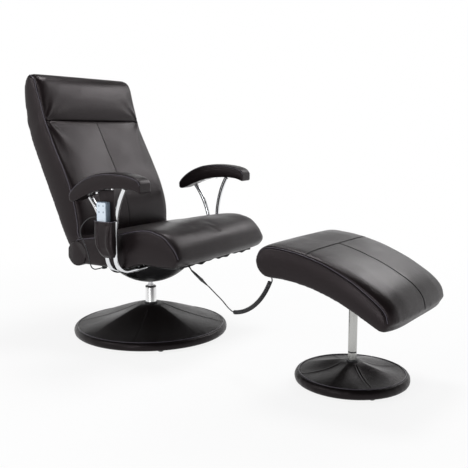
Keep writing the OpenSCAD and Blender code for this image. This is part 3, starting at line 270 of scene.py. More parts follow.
def moulded(name, colour, rough, speck=900.0, strength=0.25, worn=0.25):
    """Moulded plastic or rubber: a fine matt texture, with handled patches a little smoother and lighter."""
    m, t, shader, where = finish_of(name, Base_Color=colour, Roughness=rough, Specular_IOR_Level=0.45)
    s = use_group(t, skin, where, Blotch=22.0, Speck=speck)
    light = tuple(min(1, c * (1 + worn) + 0.006) for c in colour)
    t.links.new(mixed(t, s.outputs["Blotches"], colour, light), shader.inputs["Base Color"])
    t.links.new(span(t, s.outputs["Blotches"], 0, 1, rough + 0.06, rough - 0.06), shader.inputs["Roughness"])
    bumped(t, shader, s.outputs["Specks"], strength, 0.0002)
    return m


rubber = moulded("cord_rubber", (0.016, 0.016, 0.018), 0.42, 1600.0, 0.15)
plug_plastic = moulded("plug_plastic", (0.020, 0.020, 0.022), 0.48, 1200.0, 0.3)


def coat(part, material):
    """Gives one of the frame's own pieces its material."""
    CAD[part].data.materials.clear()
    CAD[part].data.materials.append(material)


def finished(o, material, body, slot, *nodes):
    """Gives a new piece its material and body, and hides the frame's pieces it stands for; slot is not used."""
    o.data.materials.clear()
    o.data.materials.append(material)
    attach(o, body)
    if nodes:
        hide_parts(*nodes)


# Link cord: its curl sweeps up in an arc from its lowest point to the footstool's gland. At both ends the
# cord runs off the curl's axis in a short bend before it starts to turn
curl_turns, curl_steps, sweep_r = 54, 20, 267.0
sweep_from, sweep_to = math.radians(6), math.radians(66)
curl_start = np.array([-212.0, -505.0, 194.0])
curl_way, curl_side, curl_up = np.array([[-0.397, -0.918, 0], [0.918, -0.397, 0], [0, 0, 1]])
curl_r, cord_r = 5.3, 2.0
run_off, turn_in, first_dip = 0.055, 0.02, 4.2
share = np.arange(curl_turns * curl_steps + 1) / (curl_turns * curl_steps)
bend = sweep_from + (sweep_to - sweep_from) * share
axis_line = curl_start + sweep_r * (np.outer(np.sin(bend) - math.sin(sweep_from), curl_way)
                                    + np.outer(math.cos(sweep_from) - np.cos(bend), curl_up))
from_end = np.minimum(share, 1 - share)
out_share = np.clip(from_end / run_off, 0, 1)
turn_share = np.clip((from_end - run_off) / turn_in, 0, 1)
reach = curl_r * out_share ** 2 * (3 - 2 * out_share)
angle = 2 * math.pi * curl_turns * np.cumsum(turn_share) / len(share)
curl_out = (np.outer(np.cos(angle), curl_side)
            + (np.outer(-np.sin(bend), curl_way) + np.outer(np.cos(bend), curl_up)) * np.sin(angle)[:, None])
axis_line[:, 2] += first_dip * (1 - np.clip(share / run_off, 0, 1)) ** 2
curl_line = axis_line + curl_out * reach[:, None]
lead_route = [[-185, -389, 268], [-188, -404, 260], [-192, -424, 247.5], [-200, -462, 224.5],
              [-205, -482, 210], [-209, -494.5, 203], [-212, -505, 198.2]]
lead_line = smooth_line(lead_route, 6)
link_line = at_chair(np.concatenate([curl_line[::-1], lead_line[::-1][1:]]))
link_cord = tube("link_cord", link_line, cord_r / 1000, 12)
finished(link_cord, rubber, "stool_top", "cord", "curly_cord", "link_lead")

# Controller's cord: from a clip under the seat up to the back of the controller
loop_route = [[-349, -52.7, 498], [-349, -46, 498], [-348, -30, 497], [-345, -8, 491], [-342, 14, 479],
              [-340, 34, 460], [-339, 43, 440], [-338, 40, 419], [-338, 28, 398], [-338, 16, 376],
              [-337, 9, 352], [-334, 7, 330], [-325, 8, 312], [-308, 10, 302], [-290, 11, 300],
              [-272, 11, 300], [-262, 11, 300]]
loop_line = at_chair(smooth_line(loop_route, 6)[::-1])
loop_cord = tube("controller_lead", loop_line, cord_r / 1000, 12)
loop_cord.data.materials.append(rubber)
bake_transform(loop_cord)
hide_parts("controller_cord")

# Strain relief: a ribbed rubber boot from the control box to the socket
boot_route = [[-165, -293, 321], [-165, -299, 320], [-166, -306, 316], [-170, -315, 308.5]]
boot_line = at_chair(smooth_line(boot_route, 12))
boot_share = np.linspace(0, 1, len(boot_line))
boot_r = (3.5 - 1.4 * boot_share + 0.28 * np.cos(boot_share * 9 * 2 * math.pi)) / 1000
boot = tube("link_boot", boot_line, boot_r, 20)
finished(boot, rubber, "seat", "cord", "link_pigtail")
coat("link_socket", plug_plastic)
coat("link_plug", plug_plastic)

# Round bases: a plywood disc on low glides, four steel legs up to a hub, and
# leather pulled over them like a tent. Each cover is sewn from four gores; its
# edge is closed by a padded leather roll.
def ply(name, pale, deep, glue):
    """Birch plywood: long grain on its faces, dark glue lines across its edges."""
    m, t, shader, where = finish_of(name, Roughness=0.7)
    long_way = node(t, "ShaderNodeMapping", {"Scale": (9, 240, 60)}, {"Vector": where})
    grain = node(t, "ShaderNodeTexNoise", {"Scale": 1.0, "Detail": 5.0, "Roughness": 0.65},
                 {"Vector": long_way.outputs[0]})
    plies = node(t, "ShaderNodeTexWave", {"Scale": 95.0, "Distortion": 1.2, "Detail": 2.0, "Detail Scale": 4.0},
                 {"Vector": where}, wave_type="BANDS", bands_direction="Z")
    faces = mixed(t, span(t, grain.outputs["Fac"], 0.35, 0.65), deep, pale)
    glue_share = math_node(t, "MULTIPLY", span(t, plies.outputs["Fac"], 0.35, 0.75), 0.5)
    t.links.new(mixed(t, glue_share, faces, glue), shader.inputs["Base Color"])
    bumped(t, shader, grain.outputs["Fac"], 0.2, 0.0004)
    return m


plywood = ply("plywood", (0.66, 0.50, 0.31), (0.52, 0.37, 0.21), (0.33, 0.21, 0.11))
stained_ply = ply("stained_plywood", (0.030, 0.026, 0.024), (0.020, 0.017, 0.016), (0.010, 0.009, 0.008))

# Leather: pebble grain in two sizes, fine creases and a soft uneven gloss
leather_skin, gi, go = new_group("leather skin", {"Where": Vector((0, 0, 0)), "Pebble": 620.0, "Crease": 34.0},
                                 {"Height": float, "Valley": float, "Gloss": float})
warp = node(leather_skin, "ShaderNodeTexNoise", {"Scale": 160.0, "Detail": 2.0},
            {"Vector": gi.outputs["Where"]})
warped = node(leather_skin, "ShaderNodeVectorMath", {"Scale": 0.0016}, {0: warp.outputs["Color"]},
              operation="SCALE")
grain_at = node(leather_skin, "ShaderNodeVectorMath", (), {0: gi.outputs["Where"], 1: warped.outputs[0]},
                operation="ADD")
cells = node(leather_skin, "ShaderNodeTexVoronoi", {"Randomness": 0.9},
             {"Vector": grain_at.outputs[0], "Scale": gi.outputs["Pebble"]}, feature="DISTANCE_TO_EDGE")
pebble = span(leather_skin, cells.outputs["Distance"], 0.0, 0.16)
folds = node(leather_skin, "ShaderNodeTexNoise", {"Detail": 5.0, "Roughness": 0.62, "Distortion": 0.6},
             {"Vector": gi.outputs["Where"], "Scale": gi.outputs["Crease"]})
ridge = math_node(leather_skin, "ABSOLUTE", math_node(leather_skin, "SUBTRACT", folds.outputs["Fac"], 0.5))
crease = span(leather_skin, ridge, 0.0, 0.035)
height = math_node(leather_skin, "ADD", math_node(leather_skin, "MULTIPLY", pebble, 0.55),
                   math_node(leather_skin, "MULTIPLY", crease, 0.45))
leather_skin.links.new(height, go.inputs["Height"])
leather_skin.links.new(pebble, go.inputs["Valley"])
handled = node(leather_skin, "ShaderNodeTexNoise", {"Scale": 7.0, "Detail": 3.0},
               {"Vector": gi.outputs["Where"]})
leather_skin.links.new(span(leather_skin, handled.outputs["Fac"], 0.35, 0.65), go.inputs["Gloss"])


def leather(name, colour, rough, pebble=620.0, crease=34.0, bump=0.35, top_coat=0.05, gloss=0.22):
    """Coated upholstery leather in one colour. The welts' lighter copy is painted highlight, the bases' darker copy
    painted shade.
    """
    m, t, shader, where = finish_of(name, Base_Color=colour, Roughness=rough, Specular_IOR_Level=gloss,
                                    Specular_Tint=(1.0, 0.87, 0.92), Coat_Weight=top_coat, Coat_Roughness=0.3,
                                    Sheen_Weight=0.01, Sheen_Roughness=0.45)
    s = use_group(t, leather_skin, where, Pebble=pebble, Crease=crease)
    dark = tuple(c * 0.62 for c in colour)
    worn = tuple(min(1, c * 1.22 + 0.001) for c in colour)
    base = mixed(t, s.outputs["Gloss"], colour, worn)
    t.links.new(mixed(t, s.outputs["Valley"], dark, base), shader.inputs["Base Color"])
    t.links.new(span(t, s.outputs["Gloss"], 0, 1, rough + 0.05, rough - 0.05), shader.inputs["Roughness"])
    bumped(t, shader, s.outputs["Height"], bump, 0.00035)
    return m


panel_leather = leather("cushion_leather", (0.0085, 0.0058, 0.0062), 0.33)
# The bases' cover leather has its own grain and a lower gloss; its colour, darker than the cushions' leather, is
# painted shade for the bases low under the seats.
cover_leather_painted_shade = leather("cover_leather_painted_shade", (0.0055, 0.0040, 0.0042), 0.33, 700.0, 40.0, 0.3, 0.03, 0.17)
# Welt leather, about nine times lighter than the cushions': painted highlight along the seams, the bases' piping
# and the pocket's binding.
welt_leather_painted_highlight = leather("welt_leather_painted_highlight", (0.075, 0.068, 0.085), 0.30, 900.0, 60.0, 0.25, 0.25)
# The middle seams' dark tubes are painted shadow, a dark line where the seam's groove is.
seam_shadow = moulded("seam_painted_shadow", (0.004, 0.0035, 0.0035), 0.9, 2000.0, 0.2)
thread = moulded("seam_thread", (0.030, 0.027, 0.029), 0.6, 3000.0, 0.3)


def stitch_tree():
    """Stitches of one length along a line: small rounded bars, set on evenly spaced points of it."""
    g = bpy.data.node_groups.new("row of stitches", "GeometryNodeTree")
    face = g.interface
    face.new_socket("Line", in_out="INPUT", socket_type="NodeSocketGeometry")
    for n in ("Pitch", "Length", "Thickness"):
        face.new_socket(n, in_out="INPUT", socket_type="NodeSocketFloat")
    face.new_socket("Thread", in_out="INPUT", socket_type="NodeSocketMaterial")
    face.new_socket("Stitches", in_out="OUTPUT", socket_type="NodeSocketGeometry")
    gi, go = g.nodes.new("NodeGroupInput"), g.nodes.new("NodeGroupOutput")
    line = node(g, "GeometryNodeMeshToCurve", (), {"Mesh": gi.outputs["Line"]})
    marks = node(g, "GeometryNodeCurveToPoints", (), {"Curve": line.outputs[0], "Length": gi.outputs["Pitch"]},
                 mode="LENGTH")
    bar = node(g, "GeometryNodeMeshUVSphere", {"Segments": 6, "Rings": 5, "Radius": 1.0})
    half = node(g, "ShaderNodeMath", {1: 0.5}, {0: gi.outputs["Length"]}, operation="MULTIPLY")
    thick = gi.outputs["Thickness"]
    size = node(g, "ShaderNodeCombineXYZ", (), {"X": thick, "Y": thick, "Z": half.outputs[0]})
    rows = node(g, "GeometryNodeInstanceOnPoints", (),
                {"Points": marks.outputs["Points"], "Instance": bar.outputs["Mesh"],
                 "Rotation": marks.outputs["Rotation"], "Scale": size.outputs[0]})
    real = node(g, "GeometryNodeRealizeInstances", (), {"Geometry": rows.outputs[0]})
    shade = node(g, "GeometryNodeSetShadeSmooth", (), {"Geometry": real.outputs[0]})
    made = node(g, "GeometryNodeSetMaterial", (),
                {"Geometry": shade.outputs[0], "Material": gi.outputs["Thread"]})
    g.links.new(made.outputs[0], go.inputs[0])
    return g


stitching = stitch_tree()


def set_inputs(mod, **values):
    """Sets a Geometry Nodes modifier's inputs by their sockets' identifiers."""
    for item in mod.node_group.interface.items_tree:
        if getattr(item, "in_out", "") == "INPUT" and item.name in values:
            mod[item.identifier] = values[item.name]


def made_plain(o):
    """The object's evaluated shape as a plain mesh, with its modifiers gone."""
    bpy.context.view_layer.update()
    dg = bpy.context.evaluated_depsgraph_get()
    me = bpy.data.meshes.new_from_object(o.evaluated_get(dg), depsgraph=dg)
    o.modifiers.clear()
    old = o.data
    o.data = me
    me.name = o.name
    if old.users == 0:
        bpy.data.meshes.remove(old)
    return o


def stitches(name, paths, body, pitch=0.0062, length=0.0042, thick=0.00038):
    """Rows of stitches along several lines, as one piece."""
    points, edges = [], []
    for p in paths:
        n = len(points)
        points += [tuple(x) for x in p]
        edges += [(n + i, n + i + 1) for i in range(len(p) - 1)]
    me = bpy.data.meshes.new(name)
    me.from_pydata(points, edges, [])
    o = bpy.data.objects.new(name, me)
    bpy.context.scene.collection.objects.link(o)
    mod = o.modifiers.new("rows", "NODES")
    mod.node_group = stitching
    set_inputs(mod, Pitch=pitch, Length=length, Thickness=thick, Thread=thread)
    made_plain(o)
    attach(o, body)


roll_w, roll_top, glide_h = 13, 38.0, 8.0


def tent(name, centre, ring_r, hub_r, hole_r, cone_h, seams, ridges):
    """One base's stretched cover: high over the four legs, sagging between them, a seam down each sag."""
    rings_n, round_n = 30, 288
    rim = ring_r - roll_w - 0.3
    r = np.concatenate([[hole_r], hub_r + (rim - hub_r) * np.linspace(0, 1, rings_n) ** 0.9])
    a = np.radians(np.arange(round_n) * 360 / round_n)
    rr, aa = np.meshgrid(r, a, indexing="ij")
    q = np.clip((rr - hub_r) / (ring_r - roll_w - hub_r), 0, 1)
    off = np.abs(np.sin(2 * (aa - math.radians(ridges))))
    sag = 12 * np.sin(np.pi * q ** 0.8) * off ** 1.15
    z = np.where(rr <= hub_r, cone_h, cone_h + (roll_top - 1 - cone_h) * q ** 1.15 - sag)
    for s in seams:
        d = (np.degrees(aa) - s + 180) % 360 - 180
        d = np.abs(np.radians(d)) * rr
        z -= 1.1 * np.exp(-(d / 1.6) ** 2) * np.clip(q * 8, 0, 1)
        z += 0.5 * np.exp(-((d - 4.5) / 2.2) ** 2) * np.clip(q * 8, 0, 1)
    drawn = np.sin(aa * 23 + 2 * np.sin(3 * aa)) * np.exp(-((1 - q) / 0.045) ** 2) * 0.5
    z += drawn
    top = np.stack([rr * np.cos(aa), rr * np.sin(aa), z], -1)
    low = top - np.array([0, 0, 2.4])
    n = rings_n + 1
    points = np.concatenate([top.reshape(-1, 3), low.reshape(-1, 3)])
    index = np.arange(n * round_n).reshape(n, round_n)
    faces = []
    nxt = np.roll(index, -1, axis=1)
    low_index, low_nxt = index + n * round_n, nxt + n * round_n
    for i in range(n - 1):
        faces += list(zip(index[i], index[i + 1], nxt[i + 1], nxt[i]))
        faces += list(zip(low_nxt[i], low_nxt[i + 1], low_index[i + 1], low_index[i]))
    for i in (0, n - 1):
        faces += list(zip(index[i], nxt[i], low_nxt[i], low_index[i]))
    o = outward(mesh_piece(name, centre(points), faces, True, 70))
    lines = []
    for s in seams:
        for shift in (-3.2, 3.2):
            line = []
            for x in np.linspace(hub_r + 6, rim - 3, 40):
                ang = math.radians(s) + shift / x
                i = int(round(math.degrees(ang) % 360 / 360 * round_n)) % round_n
                zz = np.interp(x, r, z[:, i])
                line.append((x * math.cos(ang), x * math.sin(ang), zz + 0.15))
            lines.append(centre(np.array(line)))
    return o, lines


def edge_roll(name, centre, ring_r):
    """Padded leather roll round a base's edge, lapped over the cover and tucked in underneath."""
    round_n = 240
    inset_and_height = [(roll_w, glide_h), (9.5, 7.9), (5.8, 8.6), (2.6, 11.2), (0.7, 15.2), (0, 20.5), (0.3, 25.5),
                        (1.9, 30.2), (4.6, 34.4), (8.0, 37.1), (11.2, roll_top), (13.4, 37.2), (13.8, 34.0)]
    m = len(inset_and_height)
    points, faces = [], []
    for i in range(round_n):
        a = 2 * math.pi * i / round_n
        for j, (inset, z) in enumerate(inset_and_height):
            swell = 0.35 * math.sin(a * 31 + j * 0.4) * math.sin(a * 7) if 2 < j < 10 else 0
            r = ring_r - inset + swell
            points.append((r * math.cos(a), r * math.sin(a), z))
        k = (i + 1) % round_n
        faces += [(i * m + j, k * m + j, k * m + (j + 1) % m, i * m + (j + 1) % m) for j in range(m)]
    o = outward(mesh_piece(name, centre(np.array(points)), faces, True, 70))
    turn = np.arange(round_n) * 2 * math.pi / round_n
    welt_r = ring_r - 13.6
    welt = np.stack([welt_r * np.cos(turn), welt_r * np.sin(turn), np.full(round_n, roll_top)], 1)
    return o, tube(name + "_piping", centre(welt), 0.0016, 8)


def glide_feet(name, centre, ring_r):
    """Five low turned glides of hard rubber, screwed up into the disc."""
    profile = [(8.6, 0.0), (9.8, 0.5), (10.6, 1.8), (11.8, 6.2), (12, glide_h)]
    points, faces, sides = [], [], 32
    turn = np.arange(sides) * 2 * math.pi / sides
    for g in range(5):
        b = math.radians(225 + 72 * g)
        cx, cy = (ring_r - 30) * math.cos(b), (ring_r - 30) * math.sin(b)
        n = len(points)
        for x, z in profile:
            points += [(cx + x * math.cos(a), cy + x * math.sin(a), z) for a in turn]
        for j in range(len(profile) - 1):
            low, high = n + j * sides, n + (j + 1) * sides
            faces += [(low + i, low + (i + 1) % sides, high + (i + 1) % sides, high + i) for i in range(sides)]
        faces.append(tuple(n + i for i in reversed(range(sides))))
        faces.append(tuple(high + i for i in range(sides)))
    return outward(mesh_piece(name, centre(np.array(points)), faces, True, 40))


def round_stool(p):
    """The footstool's turned pieces, which its slight turn doesn't touch."""
    return np.asarray(p) / 1000 + np.array([STOOL_AT[0], STOOL_AT[1], 0])


base_specs = ({"who": "chair", "centre": at_chair, "ring_r": 300.5, "hub_r": 44, "hole_r": 25.5, "cone_h": 117,
               "seams": (31, 121, 205, 301), "ridges": 76},
              {"who": "stool", "centre": round_stool, "ring_r": 181.5, "hub_r": 30, "hole_r": 18, "cone_h": 71,
               "seams": (45, 132, 222, 318), "ridges": 88})
glide_rubber = moulded("glide_rubber", (0.018, 0.018, 0.019), 0.6, 700.0, 0.4)
base_lines, feet = [], []
for spec in base_specs:
    who, centre, ring_r = spec["who"], spec["centre"], spec["ring_r"]
    cover, lines = tent(who + "_cover", centre, ring_r, spec["hub_r"], spec["hole_r"], spec["cone_h"],
                        spec["seams"], spec["ridges"])
    finished(cover, cover_leather_painted_shade, "stand", "sheet_leather", who + "_base_cover")
    base_lines += lines
    roll, piping = edge_roll(who + "_roll", centre, ring_r)
    finished(roll, cover_leather_painted_shade, "stand", "sheet_leather", who + "_base_rim")
    # The piping along the roll's top is in the lighter welt leather, a painted highlight.
    finished(piping, welt_leather_painted_highlight, "stand", "sheet_leather")
    feet.append(glide_feet(who + "_glides", centre, ring_r))
stitches("base_stitches", base_lines, "stand")
finished(feet[0], glide_rubber, "stand", "black_plastic", "base_glides")
finished(feet[1], glide_rubber, "stand", "black_plastic")
painted = moulded("black_paint", (0.014, 0.014, 0.015), 0.36, 1400.0, 0.12, 0.1)
for who in ("chair", "stool"):
    coat(who + "_base_board", plywood)
    coat(who + "_base_legs", painted)


# Columns: chrome-plated steel tubes with a moulded collar where they leave the
# leather. The chair's has a bush and a bright spindle on which the seat turns.
wear_marks, gi, go = new_group("polish marks", {"Where": Vector((0, 0, 0)), "Scale": 60.0},
                               {"Marks": float, "Haze": float})
drawn_out = node(wear_marks, "ShaderNodeMapping", {"Scale": (4, 4, 0.6)}, {"Vector": gi.outputs["Where"]})
rub = node(wear_marks, "ShaderNodeTexNoise", {"Detail": 6.0, "Roughness": 0.7},
           {"Vector": drawn_out.outputs[0], "Scale": gi.outputs["Scale"]})
haze = node(wear_marks, "ShaderNodeTexNoise", {"Scale": 18.0, "Detail": 3.0}, {"Vector": gi.outputs["Where"]})
wear_marks.links.new(span(wear_marks, rub.outputs["Fac"], 0.4, 0.7), go.inputs["Marks"])
wear_marks.links.new(span(wear_marks, haze.outputs["Fac"], 0.35, 0.7), go.inputs["Haze"])


def plated(name, colour, rough):
    """Chrome plate: bright, with faint polishing marks and hazy patches from handling."""
    m, t, shader, where = finish_of(name, Base_Color=colour, Roughness=rough, Metallic=1.0)
    s = use_group(t, wear_marks, where, Scale=60.0)
    hazy = mixed(t, s.outputs["Haze"], colour, tuple(c * 0.93 for c in colour))
    t.links.new(hazy, shader.inputs["Base Color"])
    r = math_node(t, "ADD", span(t, s.outputs["Haze"], 0, 1, rough, rough + 0.07),
                  math_node(t, "MULTIPLY", s.outputs["Marks"], 0.03))
    t.links.new(r, shader.inputs["Roughness"])
    bumped(t, shader, s.outputs["Marks"], 0.03, 0.0002)
    return m


chrome = plated("chrome_plate", (0.80, 0.81, 0.83), 0.10)
bright_steel = plated("bright_steel", (0.62, 0.62, 0.63), 0.22)


def turned(name, place, profile, sides=96, crease=35):
    """A turned piece: the outline of half its section, from the axis out and back, spun about the axis."""
    points, faces = [], []
    is_ring = profile[0][0] > 0
    m = len(profile)
    for i in range(sides):
        a = 2 * math.pi * i / sides
        points += [(x * math.cos(a), x * math.sin(a), z) for x, z in profile]
        k = (i + 1) % sides
        for j in range(m if is_ring else m - 1):
            faces.append((i * m + j, k * m + j, k * m + (j + 1) % m, i * m + (j + 1) % m))
    o = mesh_piece(name, place(np.array(points)), faces, True, None)
    outward(o, 1e-6)
    o.data.polygons.foreach_set("use_smooth", [True] * len(o.data.polygons))
    o.data.set_sharp_from_angle(angle=math.radians(crease))
    return o


column_r, bore_r, column_top = 21.5, 19, 180
chair_tube = turned("chair_column_tube", at_chair,
                    [(bore_r, 8), (21, 8), (column_r, 8.6), (column_r, column_top - 1.2), (20.9, column_top - 0.2),
                     (19.6, column_top), (bore_r, column_top - 0.6)])
finished(chair_tube, plated("column_chrome", (0.90, 0.90, 0.90), 0.30), "stand", "chrome", "chair_column")
bush_plastic = moulded("bush_plastic", (0.022, 0.022, 0.024), 0.4, 900.0, 0.2)
bush = turned("chair_bush", at_chair,
              [(9.55, 122), (18.9, 122), (bore_r, 123), (bore_r, column_top), (20.6, column_top + 0.05),
               (21, 180.6), (21, 184), (20.2, 185), (10.2, 185), (9.55, 184.4)])
finished(bush, bush_plastic, "stand", "black_plastic", "chair_column_bush")
for who, centre, r, z in (("chair", at_chair, column_r, 117), ("stool", round_stool, 14, 71)):
    collar = turned(who + "_collar", centre,
                    [(r + 0.02, z - 3.2), (r + 2.9, z - 3.2), (r + 3, z), (r + 4, z + 0.3), (r + 4, z + 3.6),
                     (r + 3.1, z + 5.6), (r + 1.4, z + 6), (r + 0.02, z + 5.6)])
    finished(collar, bush_plastic, "stand", "black_plastic", who + "_column_collar")
spindle = turned("spindle", at_chair,
                 [(0, 96), (8.6, 96), (9.5, 97), (9.5, 185.02), (11.4, 185.02), (12, 185.8), (12, 191.2),
                  (11.2, 192), (9.5, 192), (9.5, 232), (8.7, 233), (0, 233)])
finished(spindle, bright_steel, "seat", "chrome", "seat_spindle")


# Swivel pan: a pressed steel bowl, painted black, hung under the seat's board.
# A welded bracket in it carries the spindle's hub; bolts hold it to the board.
# The other carried-over pieces under the seat, in the back and under the footstool get their finish here too.
for part in ("swivel_pan", "leg_plates", "recline_brackets", "stool_bracket", "back_frame"):
    coat(part, painted)
for part in ("seat_board", "stool_board"):
    coat(part, stained_ply)
for part in ("cord_gland", "stool_cord_gland"):
    coat(part, plug_plastic)
# The bracket's grey, lighter than the pan's black, is a painted highlight on its steel.
coat("swivel_bracket", moulded("bracket_painted_highlight", (0.055, 0.055, 0.06), 0.42, 1400.0, 0.15, 0.15))
coat("underseat_bolts", plated("zinc_plate", (0.55, 0.56, 0.58), 0.3))
coat("control_box", moulded("box_plastic", (0.03, 0.03, 0.032), 0.5))
motor_plastic = moulded("motor_plastic", (0.10, 0.10, 0.11), 0.45)
for part in ("seat_motors", "back_motors", "stool_motor"):
    coat(part, motor_plastic)


# Seat: one thick foam cushion in leather over the board. Its top panel is sewn
# to a side panel along each edge, with a welt in the seam, and runs down over
# the front.
across_knots = [0, 0.2, 0.6, 0.86, 0.945, 0.985, 1]
firm_knots = [1, 1, 0.98, 0.93, 0.78, 0.5, 0]
soft_knots = [1, 1, 0.95, 0.78, 0.55, 0.3, 0]


def puff_curve(s, knots):
    """How high a panel stands between its seams, 0 at a seam and 1 in the middle."""
    across = np.linspace(0, 1, 400)
    sharp = np.interp(across, across_knots, knots)
    eased = np.convolve(np.pad(sharp, (4, 4), mode="edge"), np.ones(9) / 9, "valid")
    eased[-8:] = sharp[-8:]
    return np.interp(np.abs(s), across, eased)


top_s = np.sin(np.linspace(-math.pi / 2, math.pi / 2, 49))
side_s = np.linspace(0, 1, 13)[1:-1]
low_s = np.linspace(1, -1, 19)


def cushion_ring(row, w, bulge, under, knots):
    """Points of one cross-section from its two edge points: top panel, side panel, lower panel, side panel."""
    top, low, crown = np.array(row[:2]), np.array(row[2:4]), np.array(row[4:6])
    pts = [(s * w / 2, *(top + f * crown)) for s, f in zip(top_s, puff_curve(top_s, knots))]
    pts += [(w / 2 + bulge * math.sin(math.pi * s), *(top + (low - top) * s)) for s in side_s]
    pts += [(s * w / 2, *(low + (1 - s ** 6) * under * np.array([crown[0], 0]))) for s in low_s]
    pts += [(-w / 2 - bulge * math.sin(math.pi * s), *(top + (low - top) * s)) for s in side_s[::-1]]
    return np.array(pts)


def end_panel(ring, base):
    """Closes a cushion's end with strips from its upper to its lower edge, so that a bowed end stays bowed."""
    a, b, c = len(top_s), len(top_s) + len(side_s), len(top_s) + len(side_s) + len(low_s)
    upper, lower = list(range(a)), list(range(c - 1, b - 1, -1))
    faces, i, j = [], 0, 0
    while i < len(upper) - 1 or j < len(lower) - 1:
        if j == len(lower) - 1 or (i < len(upper) - 1 and ring[upper[i + 1], 0] <= ring[lower[j + 1], 0]):
            faces.append((upper[i], upper[i + 1], lower[j]))
            i += 1
        else:
            faces.append((upper[i], lower[j + 1], lower[j]))
            j += 1
    faces += [(a - 1, q, q + 1) for q in range(a, b)]
    faces += [(0, q, (q + 1) % len(ring)) for q in range(c - 1, len(ring) - 1)]
    return [tuple(base + q for q in f) for f in faces]


def cushion_form(name, place, rows, w, bulge, under, knots, steps=6):
    """The cushion's skin through its rows; returns the object, its seam lines, its rings and its rows."""
    rows = smooth_line(rows, steps)
    rings = np.array([cushion_ring(r, w, bulge, under, knots) for r in rows])
    n, m = rings.shape[:2]
    points = rings.reshape(-1, 3)
    k = np.arange(m)
    faces = []
    for i in range(n - 1):
        a, b = i * m + k, i * m + (k + 1) % m
        faces += list(zip(a, b, b + m, a + m))
    faces += end_panel(rings[0], 0) + end_panel(rings[-1], (n - 1) * m)
    o = outward(mesh_piece(name, place(points), faces))
    left_low = len(top_s) + len(side_s)
    corner = {"right_top": 0, "left_top": len(top_s) - 1, "left_low": left_low,
              "right_low": left_low + len(low_s) - 1}
    seams = {c: place(rings[:, j]) for c, j in corner.items()}
    seams["first"], seams["last"] = place(rings[0]), place(rings[-1])
    seams["middle"] = place(rings[:, len(top_s) // 2])
    return o, seams, place(points).reshape(n, m, 3), rows


def near(points, line):
    """Distance of each point to a line's points, which lie close together."""
    tree = KDTree(len(line))
    for i, p in enumerate(line):
        tree.insert(p, i)
    tree.balance()
    return np.array([tree.find(p)[2] for p in points])


def fine(line, gap=0.002):
    """The same line with points close together."""
    line = np.asarray(line, float)
    d = np.concatenate([[0], np.cumsum(np.linalg.norm(np.diff(line, axis=0), axis=1))])
    n = max(2, int(d[-1] / gap))
    s = np.linspace(0, d[-1], n)
    return np.stack([np.interp(s, d, line[:, k]) for k in range(3)], 1)


def coordinates(me):
    """A mesh's points as one array."""
    co = np.zeros(len(me.vertices) * 3)
    me.vertices.foreach_get("co", co)
    return co.reshape(-1, 3)


def moved_to(o, co):
    """Puts a mesh's points at new places."""
    o.data.vertices.foreach_set("co", co.ravel())
    o.data.update()


def normals_of(me):
    """A mesh's directions outwards at its points."""
    no = np.zeros(len(me.vertices) * 3)
    me.vertex_normals.foreach_get("vector", no)
    return no.reshape(-1, 3)


def remeshed(o, voxel):
    """The same form in even squares of one size."""
    mod = o.modifiers.new("even", "REMESH")
    mod.mode, mod.voxel_size, mod.adaptivity = "VOXEL", voxel, 0
    mod.use_smooth_shade = True
    made_plain(o)
    ease_out = o.modifiers.new("rounded", "SMOOTH")
    ease_out.factor, ease_out.iterations = 0.5, 4
    return made_plain(o)


def stuffed(o, sewn, voxel=0.007, cap=0.009, frames=20, hold=None):
    """Foam pushes the leather out between its seams: a cloth simulation with pressure, held at the seams.
    The leather is stiff and cut to its size, so that it is pulled tight; no point moves further than cap."""
    remeshed(o, voxel)
    rest = coordinates(o.data)
    d = near(rest, np.concatenate([fine(s) for s in sewn]))
    held = np.clip(1.25 - d / (voxel * 1.6), 0, 1)
    if hold is not None:
        held = np.maximum(held, hold(rest))
    group = o.vertex_groups.new(name="sewn")
    for level in range(1, 11):
        pick = np.nonzero((held > (level - 1) / 10) & (held <= level / 10))[0]
        if len(pick):
            group.add(pick.tolist(), level / 10, "REPLACE")
    cloth = o.modifiers.new("foam", "CLOTH")
    c = cloth.settings
    c.quality, c.mass, c.air_damping = 5, 0.4, 2.0
    c.tension_stiffness = c.compression_stiffness = 40
    c.shear_stiffness, c.bending_stiffness = 20, 14.0
    c.vertex_group_mass = "sewn"
    c.use_pressure, c.uniform_pressure_force = True, 4.0
    c.effector_weights.gravity = 0
    cloth.collision_settings.use_collision = False
    cloth.point_cache.frame_start, cloth.point_cache.frame_end = 1, frames
    scene = bpy.context.scene
    for f in range(1, frames + 1):
        scene.frame_set(f)
    dg = bpy.context.evaluated_depsgraph_get()
    shape = coordinates(o.evaluated_get(dg).data)
    o.modifiers.clear()
    o.vertex_groups.clear()
    scene.frame_set(1)
    move = shape - rest
    size = np.linalg.norm(move, axis=1)
    move *= (cap * np.tanh(size / cap) / np.maximum(size, 1e-9))[:, None]
    moved_to(o, rest + move)
    sub = o.modifiers.new("fine", "SUBSURF")
    sub.levels = sub.render_levels = 1
    made_plain(o)


def groove(o, lines, depth, width, lip=0.0):
    """Presses a seam's valley into the skin, with a slight lip beside it."""
    co, no = coordinates(o.data), normals_of(o.data)
    d = near(co, np.concatenate([fine(s, 0.0015) for s in lines]))
    push = -depth * np.exp(-(d / width) ** 2) + lip * np.exp(-((d - 2.6 * width) / (1.3 * width)) ** 2)
    moved_to(o, co + no * push[:, None])


